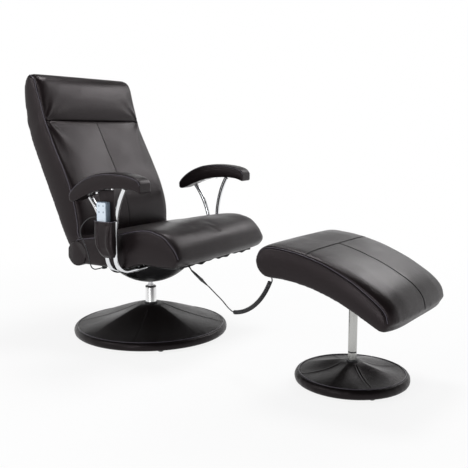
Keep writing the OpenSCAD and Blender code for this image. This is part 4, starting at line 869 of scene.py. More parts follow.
def on_skin(o, line, lift=0.0, gap=0.003, aside=0.0):
    """A line moved onto the skin of one or more pieces, lifted off it, and shifted aside along it."""
    bm = bmesh.new()
    for piece in (o if isinstance(o, list) else [o]):
        bm.from_mesh(piece.data)
    tree = BVHTree.FromBMesh(bm)
    p = fine(line, gap)
    t = np.gradient(p, axis=0)
    out = []
    for i, x in enumerate(p):
        hit, no, _, _ = tree.find_nearest(Vector(x))
        if aside:
            side = Vector(t[i]).cross(no).normalized()
            hit, no, _, _ = tree.find_nearest(hit + side * aside)
        out.append(np.array(hit + no * lift))
    bm.free()
    soft = np.array(out)
    for _ in range(3):
        soft[1:-1] = 0.25 * soft[:-2] + 0.5 * soft[1:-1] + 0.25 * soft[2:]
    return soft


def pull(o, spots):
    """Small puckers where the leather is drawn to a point: ridges that fan out from it."""
    co, no = coordinates(o.data), normals_of(o.data)
    for at, along, reach, depth, count, spread in spots:
        v = co - np.array(at)
        d = np.linalg.norm(v, axis=1)
        along = np.array(along) / np.linalg.norm(along)
        c = (v @ along) / np.maximum(d, 1e-6)
        a = np.arccos(np.clip(c, -1, 1))
        wave = np.cos(a * count) * np.exp(-(a / spread) ** 2)
        fall = np.exp(-d / reach) * np.clip(d / 0.012, 0, 1)
        co += no * (depth * wave * fall)[:, None]
    moved_to(o, co)


def cut(o, tool_points, tool_faces):
    """Cuts a closed shape out of a piece."""
    k = outward(mesh_piece("cutter", tool_points, tool_faces, False))
    mod = o.modifiers.new("cut", "BOOLEAN")
    mod.object, mod.operation, mod.solver = k, "DIFFERENCE", "EXACT"
    made_plain(o)
    bpy.data.objects.remove(k)


def prism_x(outline, x0, x1):
    """A closed prism along X from an outline in y and z."""
    n = len(outline)
    pts = [(x0, y, z) for y, z in outline] + [(x1, y, z) for y, z in outline]
    faces = [tuple(range(n)), tuple(reversed(range(n, 2 * n)))]
    faces += [(i, (i + 1) % n, n + (i + 1) % n, n + i) for i in range(n)]
    return at_chair(np.array(pts)), faces


seat_rows = np.array([
    [0, 0.62, 0, 0, -1.1, 0.6], [0.12, 0.67, 0.12, 0, -0.4, 0.6], [0.235, 0.725, 0.235, 0, 0, 0.65],
    [0.37, 0.775, 0.37, 0, 0, 0.65], [0.5, 0.89, 0.5, 0.02, 0, 0.5], [0.575, 0.945, 0.575, 0.1, 0, 0.4],
    [0.64, 0.985, 0.64, 0.15, 0, 0.3], [0.73, 1, 0.73, 0.15, 0, 0.3], [0.8, 0.95, 0.8, 0.145, -0.1, 0.65],
    [0.875, 0.86, 0.865, 0.145, -0.45, 0.85], [0.925, 0.725, 0.925, 0.155, -0.75, 0.8],
    [0.965, 0.595, 0.96, 0.185, -0.75, 0.45], [0.99, 0.47, 0.985, 0.265, -0.5, 0.2],
    [1, 0.4, 1, 0.33, -0.4, 0]])


def placed_rows(rows, origin, length, height, crown, way=-1):
    """A cushion's rows, given as shares of its length and height, in millimetres from its origin."""
    r = np.array(rows, float)
    return np.stack([origin[0] + way * r[:, 0] * length, origin[1] + r[:, 1] * height,
                     origin[0] + way * r[:, 2] * length, origin[1] + r[:, 3] * height,
                     r[:, 4] * crown, r[:, 5] * crown], 1)


top_seams = ("right_top", "left_top")
side_seams = ("right_top", "left_top", "right_low", "left_low")
pivot_y, pivot_z, hub_r = 105, 348, 44
seat_end_y, seat_low_z, seat_length, seat_rise, seat_width = 114, 309, 460, 146, 580
seat, seat_seams, _, _ = cushion_form(
    "seat_pad", at_chair, placed_rows(seat_rows, (seat_end_y, seat_low_z), seat_length, seat_rise, 15),
    seat_width, 7, 1, firm_knots)
stuffed(seat, [seat_seams[k] for k in (*side_seams, "last")], hold=lambda p: (p[:, 2] < 0.315).astype(float))


def press_out(o, centre, radius):
    """Pushes the skin out of a round bar's space along X, as foam gives way to it."""
    co = coordinates(o.data)
    v = co[:, 1:] - np.array(centre)
    d = np.linalg.norm(v, axis=1)
    k = d < radius
    co[k, 1:] = np.array(centre) + v[k] * (radius / np.maximum(d[k], 1e-6))[:, None]
    moved_to(o, co)


def press_seams(o, seams):
    """The valley that the thread pulls into the skin along both top seams."""
    groove(o, [seams[k] for k in top_seams], 0.0014, 0.0030, 0.0004)


pivot = (CHAIR_Y + pivot_y / 1000, pivot_z / 1000)
press_out(seat, pivot, hub_r / 1000 + 0.0009)
press_seams(seat, seat_seams)
finished(seat, panel_leather, "seat", "cushion_leather", "seat_cushion")


# Welts default to the lighter welt leather, a painted highlight along each seam.
def dress(name, o, lines, body, welt_r=0.0013, lift=0.0004, aside=0.0052, cover=welt_leather_painted_highlight):
    """Welts in the seams and a row of stitches beside each."""
    rows = []
    for i, line in enumerate(lines):
        w = tube(f"{name}_welt_{i + 1}", on_skin(o, line, lift), welt_r, 8, round_ends=welt_r * 0.5)
        finished(w, cover, body, "sheet_leather")
        for s in (-aside, aside):
            rows.append(on_skin(o, line, 0.00005, aside=s))
    stitches(name + "_stitches", rows, body)


dress("seat", seat, [seat_seams[k] for k in top_seams], "seat", 0.0017, 0.0008)

# The black dust cloth under the board is stapled on, so its front edge shows in loose waves
cloth_top_z = 330.9
cloth_x = np.linspace(-238, 238, 240)
sag = 7.0 + 2.6 * np.sin(cloth_x / 23) + 2.0 * np.sin(cloth_x / 9.1 + 1)
cloth_rows = []
for y in (-317.2, -316.0):
    for share in (0, 0.35, 0.7, 1):
        sway = 1.5 * share * np.sin(cloth_x / 13)
        cloth_rows.append(np.stack([cloth_x, y + sway, cloth_top_z - share * sag], 1))
cols, strip_faces = len(cloth_x), []
for i, j in ((0, 1), (1, 2), (2, 3), (3, 7), (7, 6), (6, 5), (5, 4), (4, 0)):
    strip_faces += [(i * cols + k, i * cols + k + 1, j * cols + k + 1, j * cols + k) for k in range(cols - 1)]
for k in (0, cols - 1):
    strip_faces += [tuple(r * cols + k for r in quad) for quad in ((0, 1, 5, 4), (1, 2, 6, 5), (2, 3, 7, 6))]
dust_edge = outward(mesh_piece("dust_cloth_edge", at_chair(np.concatenate(cloth_rows)), strip_faces))
finished(dust_edge, moulded("dust_cloth", (0.016, 0.015, 0.016), 0.8, 2600.0, 0.5), "seat", "cord")


# Arms: two bent chrome tubes a side, a plated strap across their ends, and a
# padded leather armrest screwed down on it.
leg_r, leg_x, leg_low_z, elbow_r = 8.5, 325, 298.5, 62
elbow_x, elbow_z = leg_x - elbow_r, leg_low_z + elbow_r


def bent_leg(y, run_end, bow_r, bow_deg, bow_from):
    """The middle line of one tube: a run under the seat, an elbow, and a bow up to the strap."""
    pts = [(-run_end - (elbow_x - run_end) * (1 - k), -y, leg_low_z) for k in np.linspace(1, 0, 8)]
    pts += [(-elbow_x - elbow_r * math.sin(a), -y, elbow_z - elbow_r * math.cos(a))
            for a in np.radians(np.linspace(0, 90, 25))[1:]]
    pts += [(-leg_x, -y, z) for z in np.linspace(elbow_z, bow_from, 6)[1:]]
    size = abs(bow_r)
    pts += [(-leg_x, -y + math.copysign(size * (1 - math.cos(a)), bow_r), bow_from + size * math.sin(a))
            for a in np.radians(np.linspace(0, bow_deg, 40))[1:]]
    return np.array(pts)


pad_rows = np.array([
    [0, 0.2, 0.08], [0.01, 0.27, 0.045], [0.035, 0.355, 0.02], [0.104, 0.527, 0.075], [0.205, 0.7, 0.2],
    [0.325, 0.836, 0.336], [0.426, 0.9, 0.418], [0.546, 0.936, 0.482], [0.672, 0.936, 0.51],
    [0.798, 0.905, 0.51], [0.893, 0.855, 0.477], [0.956, 0.79, 0.427], [0.987, 0.71, 0.39],
    [1, 0.645, 0.436]])
pad_rear_y, pad_low_z, pad_length, pad_rise, pad_width = 73, 544, 317, 110, 62
strap_y, strap_z = pad_rear_y - pad_rows[3:10, 0] * pad_length, pad_low_z + pad_rows[3:10, 2] * pad_rise


def under_strap(line):
    """The part of a tube's line that ends just inside the strap."""
    z = np.interp(line[:, 1], strap_y[::-1], strap_z[::-1])
    return line[(line[:, 2] < z + 1.5) | (line[:, 2] < 500)]


legs = {"front_leg": under_strap(bent_leg(105, 160, -330, 34, 430)),
        "rear_leg": under_strap(bent_leg(68, 172, 299, 48, 368.5))}
for side, way in (("right", 1), ("left", -1)):
    for which, line in legs.items():
        leg = outward(tube(f"{side}_{which}_tube", at_chair(line * [way, 1, 1]), leg_r / 1000, 40, crease=50))
        finished(leg, chrome, "seat", "chrome", f"{side}_{which}")
coat("arm_straps", chrome)
coat("pad_screws", chrome)

for side, pad_x in (("right", -329.5), ("left", 329.5)):
    along, flat = pad_rear_y - pad_rows[:, 0] * pad_length, np.zeros(len(pad_rows))
    rows = np.stack([along, pad_low_z + pad_rows[:, 1] * pad_rise, along, pad_low_z + pad_rows[:, 2] * pad_rise,
                     flat, flat + 5.5], 1)
    pad, pad_seams, _, _ = cushion_form(side + "_pad", lambda p: at_chair(p + np.array([pad_x, 0, 0])), rows,
                                        pad_width, 2.0, 0, soft_knots, 5)
    stuffed(pad, [pad_seams[k] for k in (*side_seams, "last")], voxel=0.004, cap=0.0025, frames=12)
    pad_lines = [pad_seams[k] for k in top_seams]
    groove(pad, pad_lines, 0.0012, 0.0022, 0.0003)
    finished(pad, panel_leather, "seat", "cushion_leather", side + "_arm_pad")
    dress(side + "_pad", pad, pad_lines, "seat", 0.0013, 0.0005, 0.0035)


# Pocket: a soft leather pouch on a hanger that comes down from the right
# armrest, gathered at its mouth and full below the controller.
mouth_z, pouch_drop, pouch_back_x, pouch_depth, leather_t, pouch_sides = 486, 128, 333.8, 28.2, 2.0, 96


def pouch_ring(z, grow, gather):
    """One level of the pouch, from its back skin round the front."""
    t = (mouth_z - z) / pouch_drop
    rear = np.interp(t, [0, 0.2, 0.6, 0.85, 1], [-39, -40, -46, -58, -72])
    front = np.interp(t, [0, 0.6, 0.88, 1], [-123, -125, -122, -112])
    mid, half = (rear + front) / 2, (rear - front) / 2 - grow
    fullness = np.interp(t, [0, 0.1, 0.4, 0.7, 0.92, 1], [1.0, 0.98, 1.22, 1.26, 0.95, 0.6])
    depth = pouch_depth * fullness - 2 * grow
    pts = []
    for k in range(pouch_sides):
        a = 2 * math.pi * k / pouch_sides
        c, s = math.cos(a), math.sin(a)
        y = mid + half * math.copysign(abs(c) ** 0.55, c)
        x = depth / 2 * math.copysign(abs(s) ** 0.6, s)
        frill = 1.5 * (1 + math.sin(11 * a + 0.8 * math.sin(3 * a))) * math.exp(-3.5 * t)
        fold = 0.5 + 0.5 * math.sin(7.3 * a + 3.0 * t + 0.6 * math.sin(7 * t))
        folds = 5.0 * fold ** 2 * math.sin(math.pi * min(1, t * 1.1)) ** 0.7
        out = gather * (frill + folds) * max(0.0, -s) ** 0.5
        droop = gather * 1.6 * max(0.0, -s) * math.exp(-9 * t)
        pts.append((-pouch_back_x - grow - depth / 2 + x - out - (0.6 if s < 0 else 0.0), y, z - droop))
    return pts


levels = np.concatenate([[mouth_z], mouth_z - pouch_drop * np.linspace(0.02, 1, 34)])
outer = [pouch_ring(z, 0.0, 1.0) for z in levels]
inner = [pouch_ring(z, leather_t, 0.0) for z in levels[:-2][::-1]]
pouch_points, pouch_faces = [p for ring in [*inner, *outer] for p in ring], []
steps = len(inner) + len(outer) - 1
j = np.arange(pouch_sides)
k = (j + 1) % pouch_sides
for i in range(steps):
    low, high = i * pouch_sides, (i + 1) * pouch_sides
    pouch_faces += list(zip(low + j, low + k, high + k, high + j))
first = len(pouch_points)
pouch_points.append(tuple(np.mean(inner[0], axis=0) + np.array([0, 0, -1.0])))
pouch_points.append(tuple(np.mean(outer[-1], axis=0) + np.array([0, 0, -0.6])))
pouch_faces += [(b, a, first) for a, b in zip(j, k)]
pouch_faces += [(high + a, high + b, first + 1) for a, b in zip(j, k)]
pouch = outward(mesh_piece("pocket_pouch", at_chair(np.array(pouch_points)), pouch_faces))
sub = pouch.modifiers.new("fine", "SUBSURF")
sub.levels = sub.render_levels = 1
made_plain(pouch)
finished(pouch, panel_leather, "seat", "sheet_leather", "controller_pocket")


def sheet_faces(rows, cols):
    """Faces of a thin sheet: a grid of points on one side, the same grid on the other, and its rim."""
    n = rows * cols
    faces = []
    for i in range(rows - 1):
        for a in range(i * cols, i * cols + cols - 1):
            faces += [(a, a + 1, a + cols + 1, a + cols), (n + a + cols, n + a + cols + 1, n + a + 1, n + a)]
    rim = [*range(cols), *range(2 * cols - 1, n, cols),
           *range(n - 2, n - cols - 1, -1), *range(n - 2 * cols, 0, -cols)]
    return faces + [(b, a, n + a, n + b) for a, b in zip(rim, rim[1:] + rim[:1])]


hang_rows = [(485, -40, -124), (505, -47, -117), (530, -52, -115), (560, -48, -113), (592, -42, -112)]
hang_points, hang_cols = [], 21
hang_levels = smooth_line(hang_rows, 5)
for thick in (0.0, 2.2):
    for z, rear, front in hang_levels:
        for share in np.linspace(0, 1, hang_cols):
            wave = 0.5 * math.sin(share * 9 + z * 0.05) * math.sin(math.pi * share)
            hang_points.append((-334.0 - thick - max(wave, 0), rear + (front - rear) * share, z))
hanger = outward(mesh_piece("pocket_hanger", at_chair(np.array(hang_points)),
                            sheet_faces(len(hang_levels), hang_cols)))
finished(hanger, panel_leather, "seat", "sheet_leather")
mouth_line = np.array([*outer[0], outer[0][0]]) + np.array([0.8, 0, 0])
# The binding is in the lighter welt leather, a painted highlight round the pocket's mouth.
finished(tube("pocket_binding", at_chair(mouth_line), 0.0017, 8), welt_leather_painted_highlight, "seat", "sheet_leather")


# Controller: a moulded case with a paler face plate and four sprung keys. It
# stands in the pocket and lifts straight out.
case_blue = moulded("case_plastic", (0.20, 0.26, 0.33), 0.38, 1500.0, 0.15)
face_blue = moulded("face_plastic", (0.70, 0.79, 0.88), 0.32, 1500.0, 0.08, 0.04)
key_blue = moulded("key_plastic", (0.34, 0.41, 0.48), 0.36, 1500.0, 0.1)


case_y, case_z, case_w, case_h = -75, 498, 44, 108


def rounded_slab(name, w, h, depths, r, steps=8):
    """A slab with rounded corners in y and z; depths are pairs of x and inset."""
    points, faces = [], []
    m = 4 * (steps + 1)
    for x, inset in depths:
        corner_r = max(r - inset, 0.3)
        across, up = w / 2 - inset - corner_r, h / 2 - inset - corner_r
        for cy, cz, a0 in ((1, 1, 0), (-1, 1, 90), (-1, -1, 180), (1, -1, 270)):
            for a in np.radians(a0 + np.linspace(0, 90, steps + 1)):
                points.append((x, cy * across + corner_r * math.cos(a) + case_y,
                               cz * up + corner_r * math.sin(a) + case_z))
    for i in range(len(depths) - 1):
        faces += [(i * m + j, i * m + (j + 1) % m, (i + 1) * m + (j + 1) % m, (i + 1) * m + j) for j in range(m)]
    faces += [tuple(range(m)), tuple(reversed(range((len(depths) - 1) * m, len(depths) * m)))]
    return outward(mesh_piece(name, at_chair(np.array(points)), faces, True, 40))


case = rounded_slab("controller_shell", case_w, case_h,
                    [(-336.3, 3), (-336.8, 1.4), (-338.2, 0.3), (-340, 0), (-349.6, 0), (-349.8, 0.45),
                     (-350.4, 0.45), (-350.6, 0), (-357, 0), (-358.6, 0.5), (-359.2, 1.4), (-359.3, 2.3)], 5)
finished(case, case_blue, "controller", "controller_body", "controller_case")
face = rounded_slab("controller_plate", case_w - 5, case_h - 5,
                    [(-357.6, 0), (-359.35, 0), (-359.75, 0.25), (-359.9, 0.9)], 3.2)
finished(face, face_blue, "controller", "controller_face", "controller_face")
key_x, key_outline = -356.3, [(0, 0), (4, 0), (4, 3.1), (3.7, 3.55), (2.6, 3.9), (0, 4)]
for which, u, v in (("power", 0.28, 0.88), ("heat", 0.72, 0.88),
                    ("mode", 0.28, 0.68), ("strength", 0.72, 0.68)):
    key_y, key_z = case_y + (u - 0.5) * case_w, case_z + (v - 0.5) * case_h
    key = turned(which + "_key_cap",
                 lambda p: at_chair(np.stack([key_x - p[:, 2], p[:, 0] + key_y, p[:, 1] + key_z], 1)),
                 key_outline, 40)
    finished(key, key_blue, which + "_key", "button", which + "_button")


# Back: a long curved foam cushion over a steel tube frame, in one leather skin
# with a seam down the middle, and a separate padded headrest above it.
back_rows = np.array([
    [-0.14, 0.034, 0.247, 0.031, 0, 0], [-0.081, 0.058, 0.295, 0.065, 0, 0],
    [-0.028, 0.067, 0.325, 0.089, 0, 0], [0.05, 0.086, 0.354, 0.114, -0.75, 0.05],
    [0.07, 0.126, 0.395, 0.151, -1.35, 0.1], [0.077, 0.165, 0.43, 0.188, -1.5, 0.15],
    [0.103, 0.234, 0.498, 0.252, -1.6, 0.2], [0.144, 0.303, 0.565, 0.314, -1.4, 0.2],
    [0.192, 0.365, 0.63, 0.375, -1.15, 0.2], [0.262, 0.434, 0.694, 0.434, -0.8, 0.2],
    [0.336, 0.498, 0.753, 0.489, -0.7, 0.2], [0.41, 0.557, 0.812, 0.546, -0.65, 0.2],
    [0.476, 0.611, 0.867, 0.6, -0.65, 0.2], [0.539, 0.665, 0.908, 0.652, -0.65, 0.2],
    [0.583, 0.708, 0.934, 0.695, -0.5, 0.15], [0.609, 0.735, 0.948, 0.72, -0.35, 0.1]])
head_rows = np.array([
    [0.609, 0.735, 0.948, 0.72, -0.35, 0.1], [0.638, 0.772, 0.967, 0.754, -0.95, 0.1],
    [0.683, 0.832, 0.985, 0.806, -1.15, 0.15], [0.731, 0.892, 1, 0.865, -1.5, 0.2],
    [0.764, 0.942, 1, 0.911, -1.55, 0.2], [0.8, 0.977, 0.985, 0.949, -1.3, 0.25],
    [0.856, 0.997, 0.948, 0.98, -0.75, 0.25], [0.886, 1, 0.919, 0.994, -0.1, 0.15]])


back_w = 536


def back_placed(rows):
    """Rows of the back or the headrest, from shares of the whole back's depth and height to millimetres."""
    return placed_rows(rows, (pivot_y, pivot_z), 271, 651, 16, 1)


def about_hinge(r, start, end, n):
    """Points of an arc about the hinge, in y and z."""
    turns = np.radians(np.linspace(start, end, n))
    return [(pivot_y + r * math.cos(a), pivot_z + r * math.sin(a)) for a in turns]


nose = []
for front, rear, rise in ((20, 20, 0), (45, 42, 0), (68, 62, 0), (90, 62, 14)):
    rear_r = hub_r - 4 * math.sin(math.radians(min(rear * 2, 100)))
    (fy, fz), (ry, rz) = about_hinge(hub_r, 270 - front, 0, 1)[0], about_hinge(rear_r, 270 + rear, 0, 1)[0]
    nose.append([fy, fz, ry + rise * 0.75, rz + rise * 0.95, 0, 0])
back, back_seams, _, _ = cushion_form("back_pad", at_chair, np.concatenate([nose, back_placed(back_rows)]),
                                      back_w, 4, 0, firm_knots, 5)
back_middle = back_seams["middle"][30:]


def nose_held(p):
    """How firmly the leather is held near the hinge, where the cushion is glued round its hub."""
    d = np.hypot(p[:, 1] - pivot[0], p[:, 2] - pivot[1])
    return np.clip((0.085 - d) / 0.03, 0, 1)


stuffed(back, [back_seams[k] for k in (*side_seams, "last")] + [back_middle], hold=nose_held)
nose_r = (hub_r - 0.3) / 1000
co = coordinates(back.data)
v = co[:, 1:] - np.array(pivot)
d = np.linalg.norm(v, axis=1)
k = (d > nose_r) & (d < 0.052) & (v[:, 0] < 0.012) & (v[:, 1] < 0.03)
co[k, 1:] = np.array(pivot) + v[k] * (nose_r / d[k])[:, None]
moved_to(back, co)
press_seams(back, back_seams)
groove(back, [back_middle], 0.0010, 0.0025)
for s in (-1, 1):
    x0, x1 = sorted((s * 176.5, s * 183.5))
    cut(back, *prism_x([(pivot_y, pivot_z)] + about_hinge(66, 165, 312, 16), x0, x1))
    cut(back, *prism_x(about_hinge(19, 0, 360, 33)[:-1], x0, x1))
head, head_seams, _, _ = cushion_form("head_pad", at_chair, back_placed(head_rows),
                                      back_w, 4, 0, firm_knots, 6)
stuffed(head, [head_seams[k] for k in (*side_seams, "first", "last")])
press_seams(head, head_seams)
head_corners = [(tuple(head_seams[k][2]), s) for k, s in (("right_top", 1), ("left_top", -1))]
pull(head, [(c, (s, 0, 0.35), 0.045, 0.0050, 11, 1.1) for c, s in head_corners])
pull(back, [(c, (s, 0, -0.75), 0.070, 0.0075, 11, 1.1) for c, s in head_corners])


def side_panel(name, s, side):
    """One leather panel that runs up the whole side, over the cushion and the headrest."""
    upper = np.concatenate([back_seams[side + "_top"], head_seams[side + "_top"][1:]])
    lower = np.concatenate([back_seams[side + "_low"], head_seams[side + "_low"][1:]])
    d = np.concatenate([[0], np.cumsum(np.linalg.norm(np.diff((upper + lower) / 2, axis=0), axis=1))])
    u = np.linspace(0, d[-1] - 0.014, int(d[-1] / 0.005))
    joint = d[len(back_seams[side + "_top"]) - 1]
    upper, lower = (np.stack([np.interp(u, d, e[:, k]) for k in range(3)], 1) for e in (upper, lower))
    across = np.linspace(0.015, 0.985, 23)
    grid = upper[:, None] + (lower - upper)[:, None] * across[None, :, None]
    bm = bmesh.new()
    for piece in (back, head):
        bm.from_mesh(piece.data)
    tree = BVHTree.FromBMesh(bm)
    out = 0.268 + 0.004 * np.sin(math.pi * across)[None] + 0 * u[:, None]
    for i in range(len(u)):
        for j in range(len(across)):
            hit = tree.ray_cast(Vector((s * 0.4, grid[i, j, 1], grid[i, j, 2])), Vector((-s, 0, 0)))[0]
            if hit is not None and abs(hit.x) > 0.255:
                out[i, j] = abs(hit.x)
    bm.free()
    full = np.max([np.pad(out, ((4, 4), (0, 0)), mode="edge")[k:k + len(u)] for k in range(9)], axis=0)
    wide = out + (full - out) * np.exp(-((u - joint) / 0.022) ** 4)[:, None]
    for _ in range(4):
        wide[1:-1] = (wide[:-2] + 2 * wide[1:-1] + wide[2:]) / 4
        wide[:, 1:-1] = (wide[:, :-2] + 2 * wide[:, 1:-1] + wide[:, 2:]) / 4
    wide += 0.0005
    hub = np.hypot(grid[..., 1] - pivot[0], grid[..., 2] - pivot[1])
    if s > 0:
        wide[hub < 0.036] = np.minimum(wide[hub < 0.036], 0.2729)
    else:
        level = wide[np.argmin(np.abs(hub[:, 11] - 0.12))]
        wide = np.where(hub < 0.12, np.maximum(wide, level[None]), wide)
        for _ in range(3):
            wide[1:-1] = (wide[:-2] + 2 * wide[1:-1] + wide[2:]) / 4
    points = []
    for thick in (0, np.maximum(0.0016, wide - out + 0.0012)):
        layer = grid.copy()
        layer[..., 0] = s * (wide - thick)
        points += [tuple(p) for p in layer.reshape(-1, 3)]
    panel = outward(mesh_piece(name, np.array(points), sheet_faces(*wide.shape)))
    finished(panel, panel_leather, "back", "sheet_leather")
    return panel


right_side = side_panel("back_right_side", -1, "right")
left_side = side_panel("back_left_side", 1, "left")
for o, node_name in ((back, "back_cushion"), (head, "headrest")):
    finished(o, panel_leather, "back", "cushion_leather", node_name)
long_seams = [np.concatenate([back_seams[k][34:], head_seams[k][1:-2]]) for k in top_seams]
dress("back", [back, head, right_side, left_side], long_seams, "back", 0.0020, 0.0010)
# The middle seam's dark tube is a painted shadow line.
dress("back_middle", back, [back_middle], "back", 0.0009, 0.0001, 0.0035, seam_shadow)
shaft = turned("recline_bar", lambda p: at_chair(np.stack([p[:, 2], p[:, 0] + pivot_y, p[:, 1] + pivot_z], 1)),
               [(0, -266), (5.4, -266), (6, -265.4), (6, 282.7), (5.4, 283.3), (0, 283.3)], 48)
finished(shaft, bright_steel, "back", "chrome", "recline_shaft")
knob_x, knob_r, lobe_depth, knob_sides = 273.3, 27, 4.6, 96
knob_outline = [(0, 0), (0, 0.9), (0.8, 1), (6, 1), (14, 1), (18.4, 0.95), (19.7, 0.86), (20, 0.74),
                (19.4, 0.3), (19.4, 0)]
knob_points, knob_faces = [], []
for out, share in knob_outline:
    for i in range(knob_sides):
        a = 2 * math.pi * i / knob_sides
        r = share * (knob_r - lobe_depth * (0.5 - 0.5 * math.cos(6 * a)) ** 1.6)
        knob_points.append((knob_x + out, pivot_y + r * math.cos(a), pivot_z + r * math.sin(a)))
for i in range(len(knob_outline) - 1):
    low, high = i * knob_sides, (i + 1) * knob_sides
    knob_faces += [(low + a, low + (a + 1) % knob_sides, high + (a + 1) % knob_sides, high + a)
                   for a in range(knob_sides)]
knob = outward(mesh_piece("recline_grip", at_chair(np.array(knob_points)), knob_faces), 1e-6)
knob.data.set_sharp_from_angle(angle=math.radians(50))
knob_plastic = moulded("knob_plastic", (0.02, 0.02, 0.022), 0.45, 800.0, 0.4)
finished(knob, knob_plastic, "knob", "black_plastic", "recline_knob")


# Footstool: a curved foam cushion on a curved board, with a cross seam and a
# seam down the middle of its front panel, on a chrome column in two parts.
# The footstool's post and column: chrome with its colour darkened to about half, painted shade.
chrome_painted_shade = plated("chrome_painted_shade", (0.46, 0.46, 0.445), 0.22)
post = turned("stool_post_tube", round_stool,
              [(0, 8), (13.4, 8), (14, 8.6), (14, 99.4), (13.5, 100), (10, 100), (10, 311), (9.4, 312), (0, 312)])
finished(post, chrome_painted_shade, "stand", "chrome", "stool_post")
washer = turned("stool_ring", round_stool,
                [(10.05, 100), (13.3, 100), (13.5, 100.3), (13.5, 102.7), (13.3, 103), (10.05, 103)])
finished(washer, bush_plastic, "stand", "black_plastic", "stool_washer")
stool_tube = turned("stool_column_tube", at_stool,
                    [(10.05, 103), (13.4, 103), (14, 103.6), (14, 311.4), (13.5, 312), (10.05, 312)])
finished(stool_tube, chrome_painted_shade, "stool_top", "chrome", "stool_column")
stool_rows = np.array([
    [0.004, 0.825, 0.004, 0.705, 0.3, 0], [0.026, 0.915, 0.026, 0.615, 0.3, 0.15],
    [0.065, 0.975, 0.065, 0.555, 0.2, 0.25], [0.112, 1, 0.112, 0.535, 0, 0.3],
    [0.206, 0.99, 0.206, 0.53, 0, 0.3], [0.31, 0.962, 0.31, 0.512, 0, 0.36],
    [0.417, 0.912, 0.417, 0.469, 0, 0.45], [0.534, 0.84, 0.534, 0.405, 0, 0.55],
    [0.65, 0.74, 0.65, 0.315, -0.05, 0.7], [0.756, 0.63, 0.756, 0.215, -0.15, 0.85],
    [0.85, 0.505, 0.85, 0.11, -0.4, 0.95], [0.92, 0.4, 0.92, 0.035, -0.75, 0.9],
    [0.967, 0.32, 0.962, 0, -1, 0.6], [0.99, 0.26, 0.985, 0.008, -1.15, 0.3],
    [1.0, 0.2, 1.0, 0.04, -1.2, 0], [1.005, 0.14, 1.005, 0.085, -1.22, 0]])
stool_w, stool_length, cross_seam_y = 426, 427, 60
stool, stool_seams, stool_grid, rows = cushion_form(
    "stool_pad", at_stool, placed_rows(stool_rows, (228, 244), stool_length, 205, 25),
    stool_w, 8, 0.7, soft_knots)
cross_at = int(np.argmin(np.abs(rows[:, 0] - cross_seam_y)))
cross_line = stool_grid[cross_at, :len(top_s)]
front_line = stool_grid[cross_at:, len(top_s) // 2]
stuffed(stool, [stool_seams[k] for k in (*side_seams, "first")] + [cross_line, front_line],
        voxel=0.0055, cap=0.008)
press_seams(stool, stool_seams)
groove(stool, [cross_line, front_line], 0.0008, 0.0022)
finished(stool, panel_leather, "stool_top", "cushion_leather", "stool_cushion")
dress("stool", stool, [stool_seams[k] for k in top_seams], "stool_top")
# The cross and front seams' dark tubes are painted shadow lines.
dress("stool_middle", stool, [cross_line, front_line], "stool_top", 0.0011, 0.0003, 0.0035, seam_shadow)


# Studio: a pale floor that fades into a white surround, and four soft lamps,
# one ahead, one above and two at the sitter's right.
floor = mesh_piece("floor", [(-9, -9, 0), (9, -9, 0), (9, 9, 0), (-9, 9, 0)], [(0, 1, 2, 3)], False)
pale = bpy.data.materials.new("studio_floor")
pale.use_nodes = True
ft = pale.node_tree
paint = ft.nodes["Principled BSDF"]
paint.inputs["Base Color"].default_value = (0.86, 0.86, 0.87, 1)
paint.inputs["Roughness"].default_value = 0.9
paint.inputs["Specular IOR Level"].default_value = 0.1
rays = ft.nodes.new("ShaderNodeLightPath").outputs
seen = math_node(ft, "MAXIMUM", math_node(ft, "MAXIMUM", rays["Is Camera Ray"], rays["Is Glossy Ray"]),
                 rays["Is Transmission Ray"])
glow = node(ft, "ShaderNodeEmission", {"Color": (1, 1, 1, 1), "Strength": 1.0})
ground = ft.nodes.new("ShaderNodeTexCoord").outputs["Object"]
away = node(ft, "ShaderNodeVectorMath", (), {0: ground}, operation="LENGTH").outputs["Value"]
white_share = math_node(ft, "MULTIPLY", seen, span(ft, away, 0.6, 2.4, 0.86, 1.0))
both = node(ft, "ShaderNodeMixShader", (), {0: white_share, 1: paint.outputs[0], 2: glow.outputs[0]})
ft.links.new(both.outputs[0], ft.nodes["Material Output"].inputs["Surface"])
floor.data.materials.append(pale)

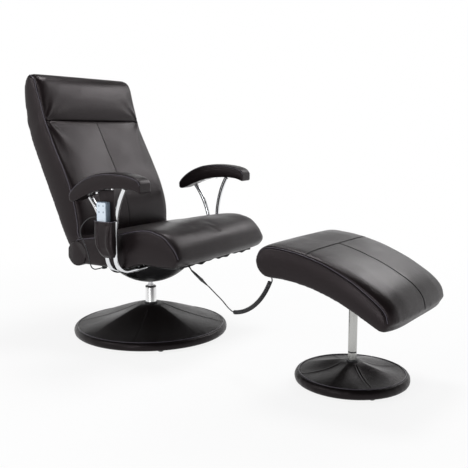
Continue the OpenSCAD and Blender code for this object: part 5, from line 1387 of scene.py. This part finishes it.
world = bpy.data.worlds.new("studio")
bpy.context.scene.world = world
world.use_nodes = True
wt = world.node_tree
sky = wt.nodes["Background"]
sky.inputs["Color"].default_value = (1, 1, 1, 1)
rays = wt.nodes.new("ShaderNodeLightPath").outputs
seen = math_node(wt, "MAXIMUM", rays["Is Camera Ray"], rays["Is Transmission Ray"])
plain_sky = span(wt, seen, 0, 1, 0.34, 1.0)
# Shiny pieces mirror the white backdrop, and the darker room above it and behind the viewer
sky_way = wt.nodes.new("ShaderNodeTexCoord").outputs["Generated"]
height = node(wt, "ShaderNodeSeparateXYZ", (), {0: sky_way}).outputs["Z"]
toward = node(wt, "ShaderNodeVectorMath", {1: (-0.854, -0.52, 0)}, {0: sky_way},
              operation="DOT_PRODUCT").outputs["Value"]
behind = math_node(wt, "MULTIPLY", span(wt, toward, -0.1, 0.7), span(wt, height, 0.02, 0.22, 0.2, 0.8))
mirrored = math_node(wt, "MULTIPLY", span(wt, height, 0.28, 0.55, 1.0, 0.12),
                     math_node(wt, "SUBTRACT", 1, behind))
not_mirrored = math_node(wt, "SUBTRACT", 1, rays["Is Glossy Ray"])
shown = math_node(wt, "ADD", math_node(wt, "MULTIPLY", plain_sky, not_mirrored),
                  math_node(wt, "MULTIPLY", mirrored, rays["Is Glossy Ray"]))
wt.links.new(shown, sky.inputs["Strength"])


def lamp(name, at, aim, size, power, tall=0.0):
    """A soft lamp aimed at a point: a round one, or a strip where it is given a height."""
    d = bpy.data.lights.new(name, "AREA")
    d.shape = "DISK"
    d.size = size
    d.energy = power
    if tall:
        d.shape = "RECTANGLE"
        d.size_y = tall
    o = bpy.data.objects.new(name, d)
    o.location = at
    o.rotation_mode = "QUATERNION"
    o.rotation_quaternion = (Vector(aim) - Vector(at)).to_track_quat("-Z", "Y")
    bpy.context.scene.collection.objects.link(o)


lamp("soft_lamp", (2.55, -0.75, 2.45), (0, 0.3, 0.6), 1.5, 34)
lamp("top_lamp", (0.6, 0.2, 3.1), (0, 0, 0.4), 1.0, 44)
lamp("side_lamp", (-2.6, 1.7, 1.9), (0, 0.3, 0.6), 1.0, 24)
lamp("strip_lamp", (-3.1, -0.2, 1.0), (0, 0.3, 0.6), 0.45, 20, 1.6)
bpy.context.scene.view_settings.view_transform = "Standard"
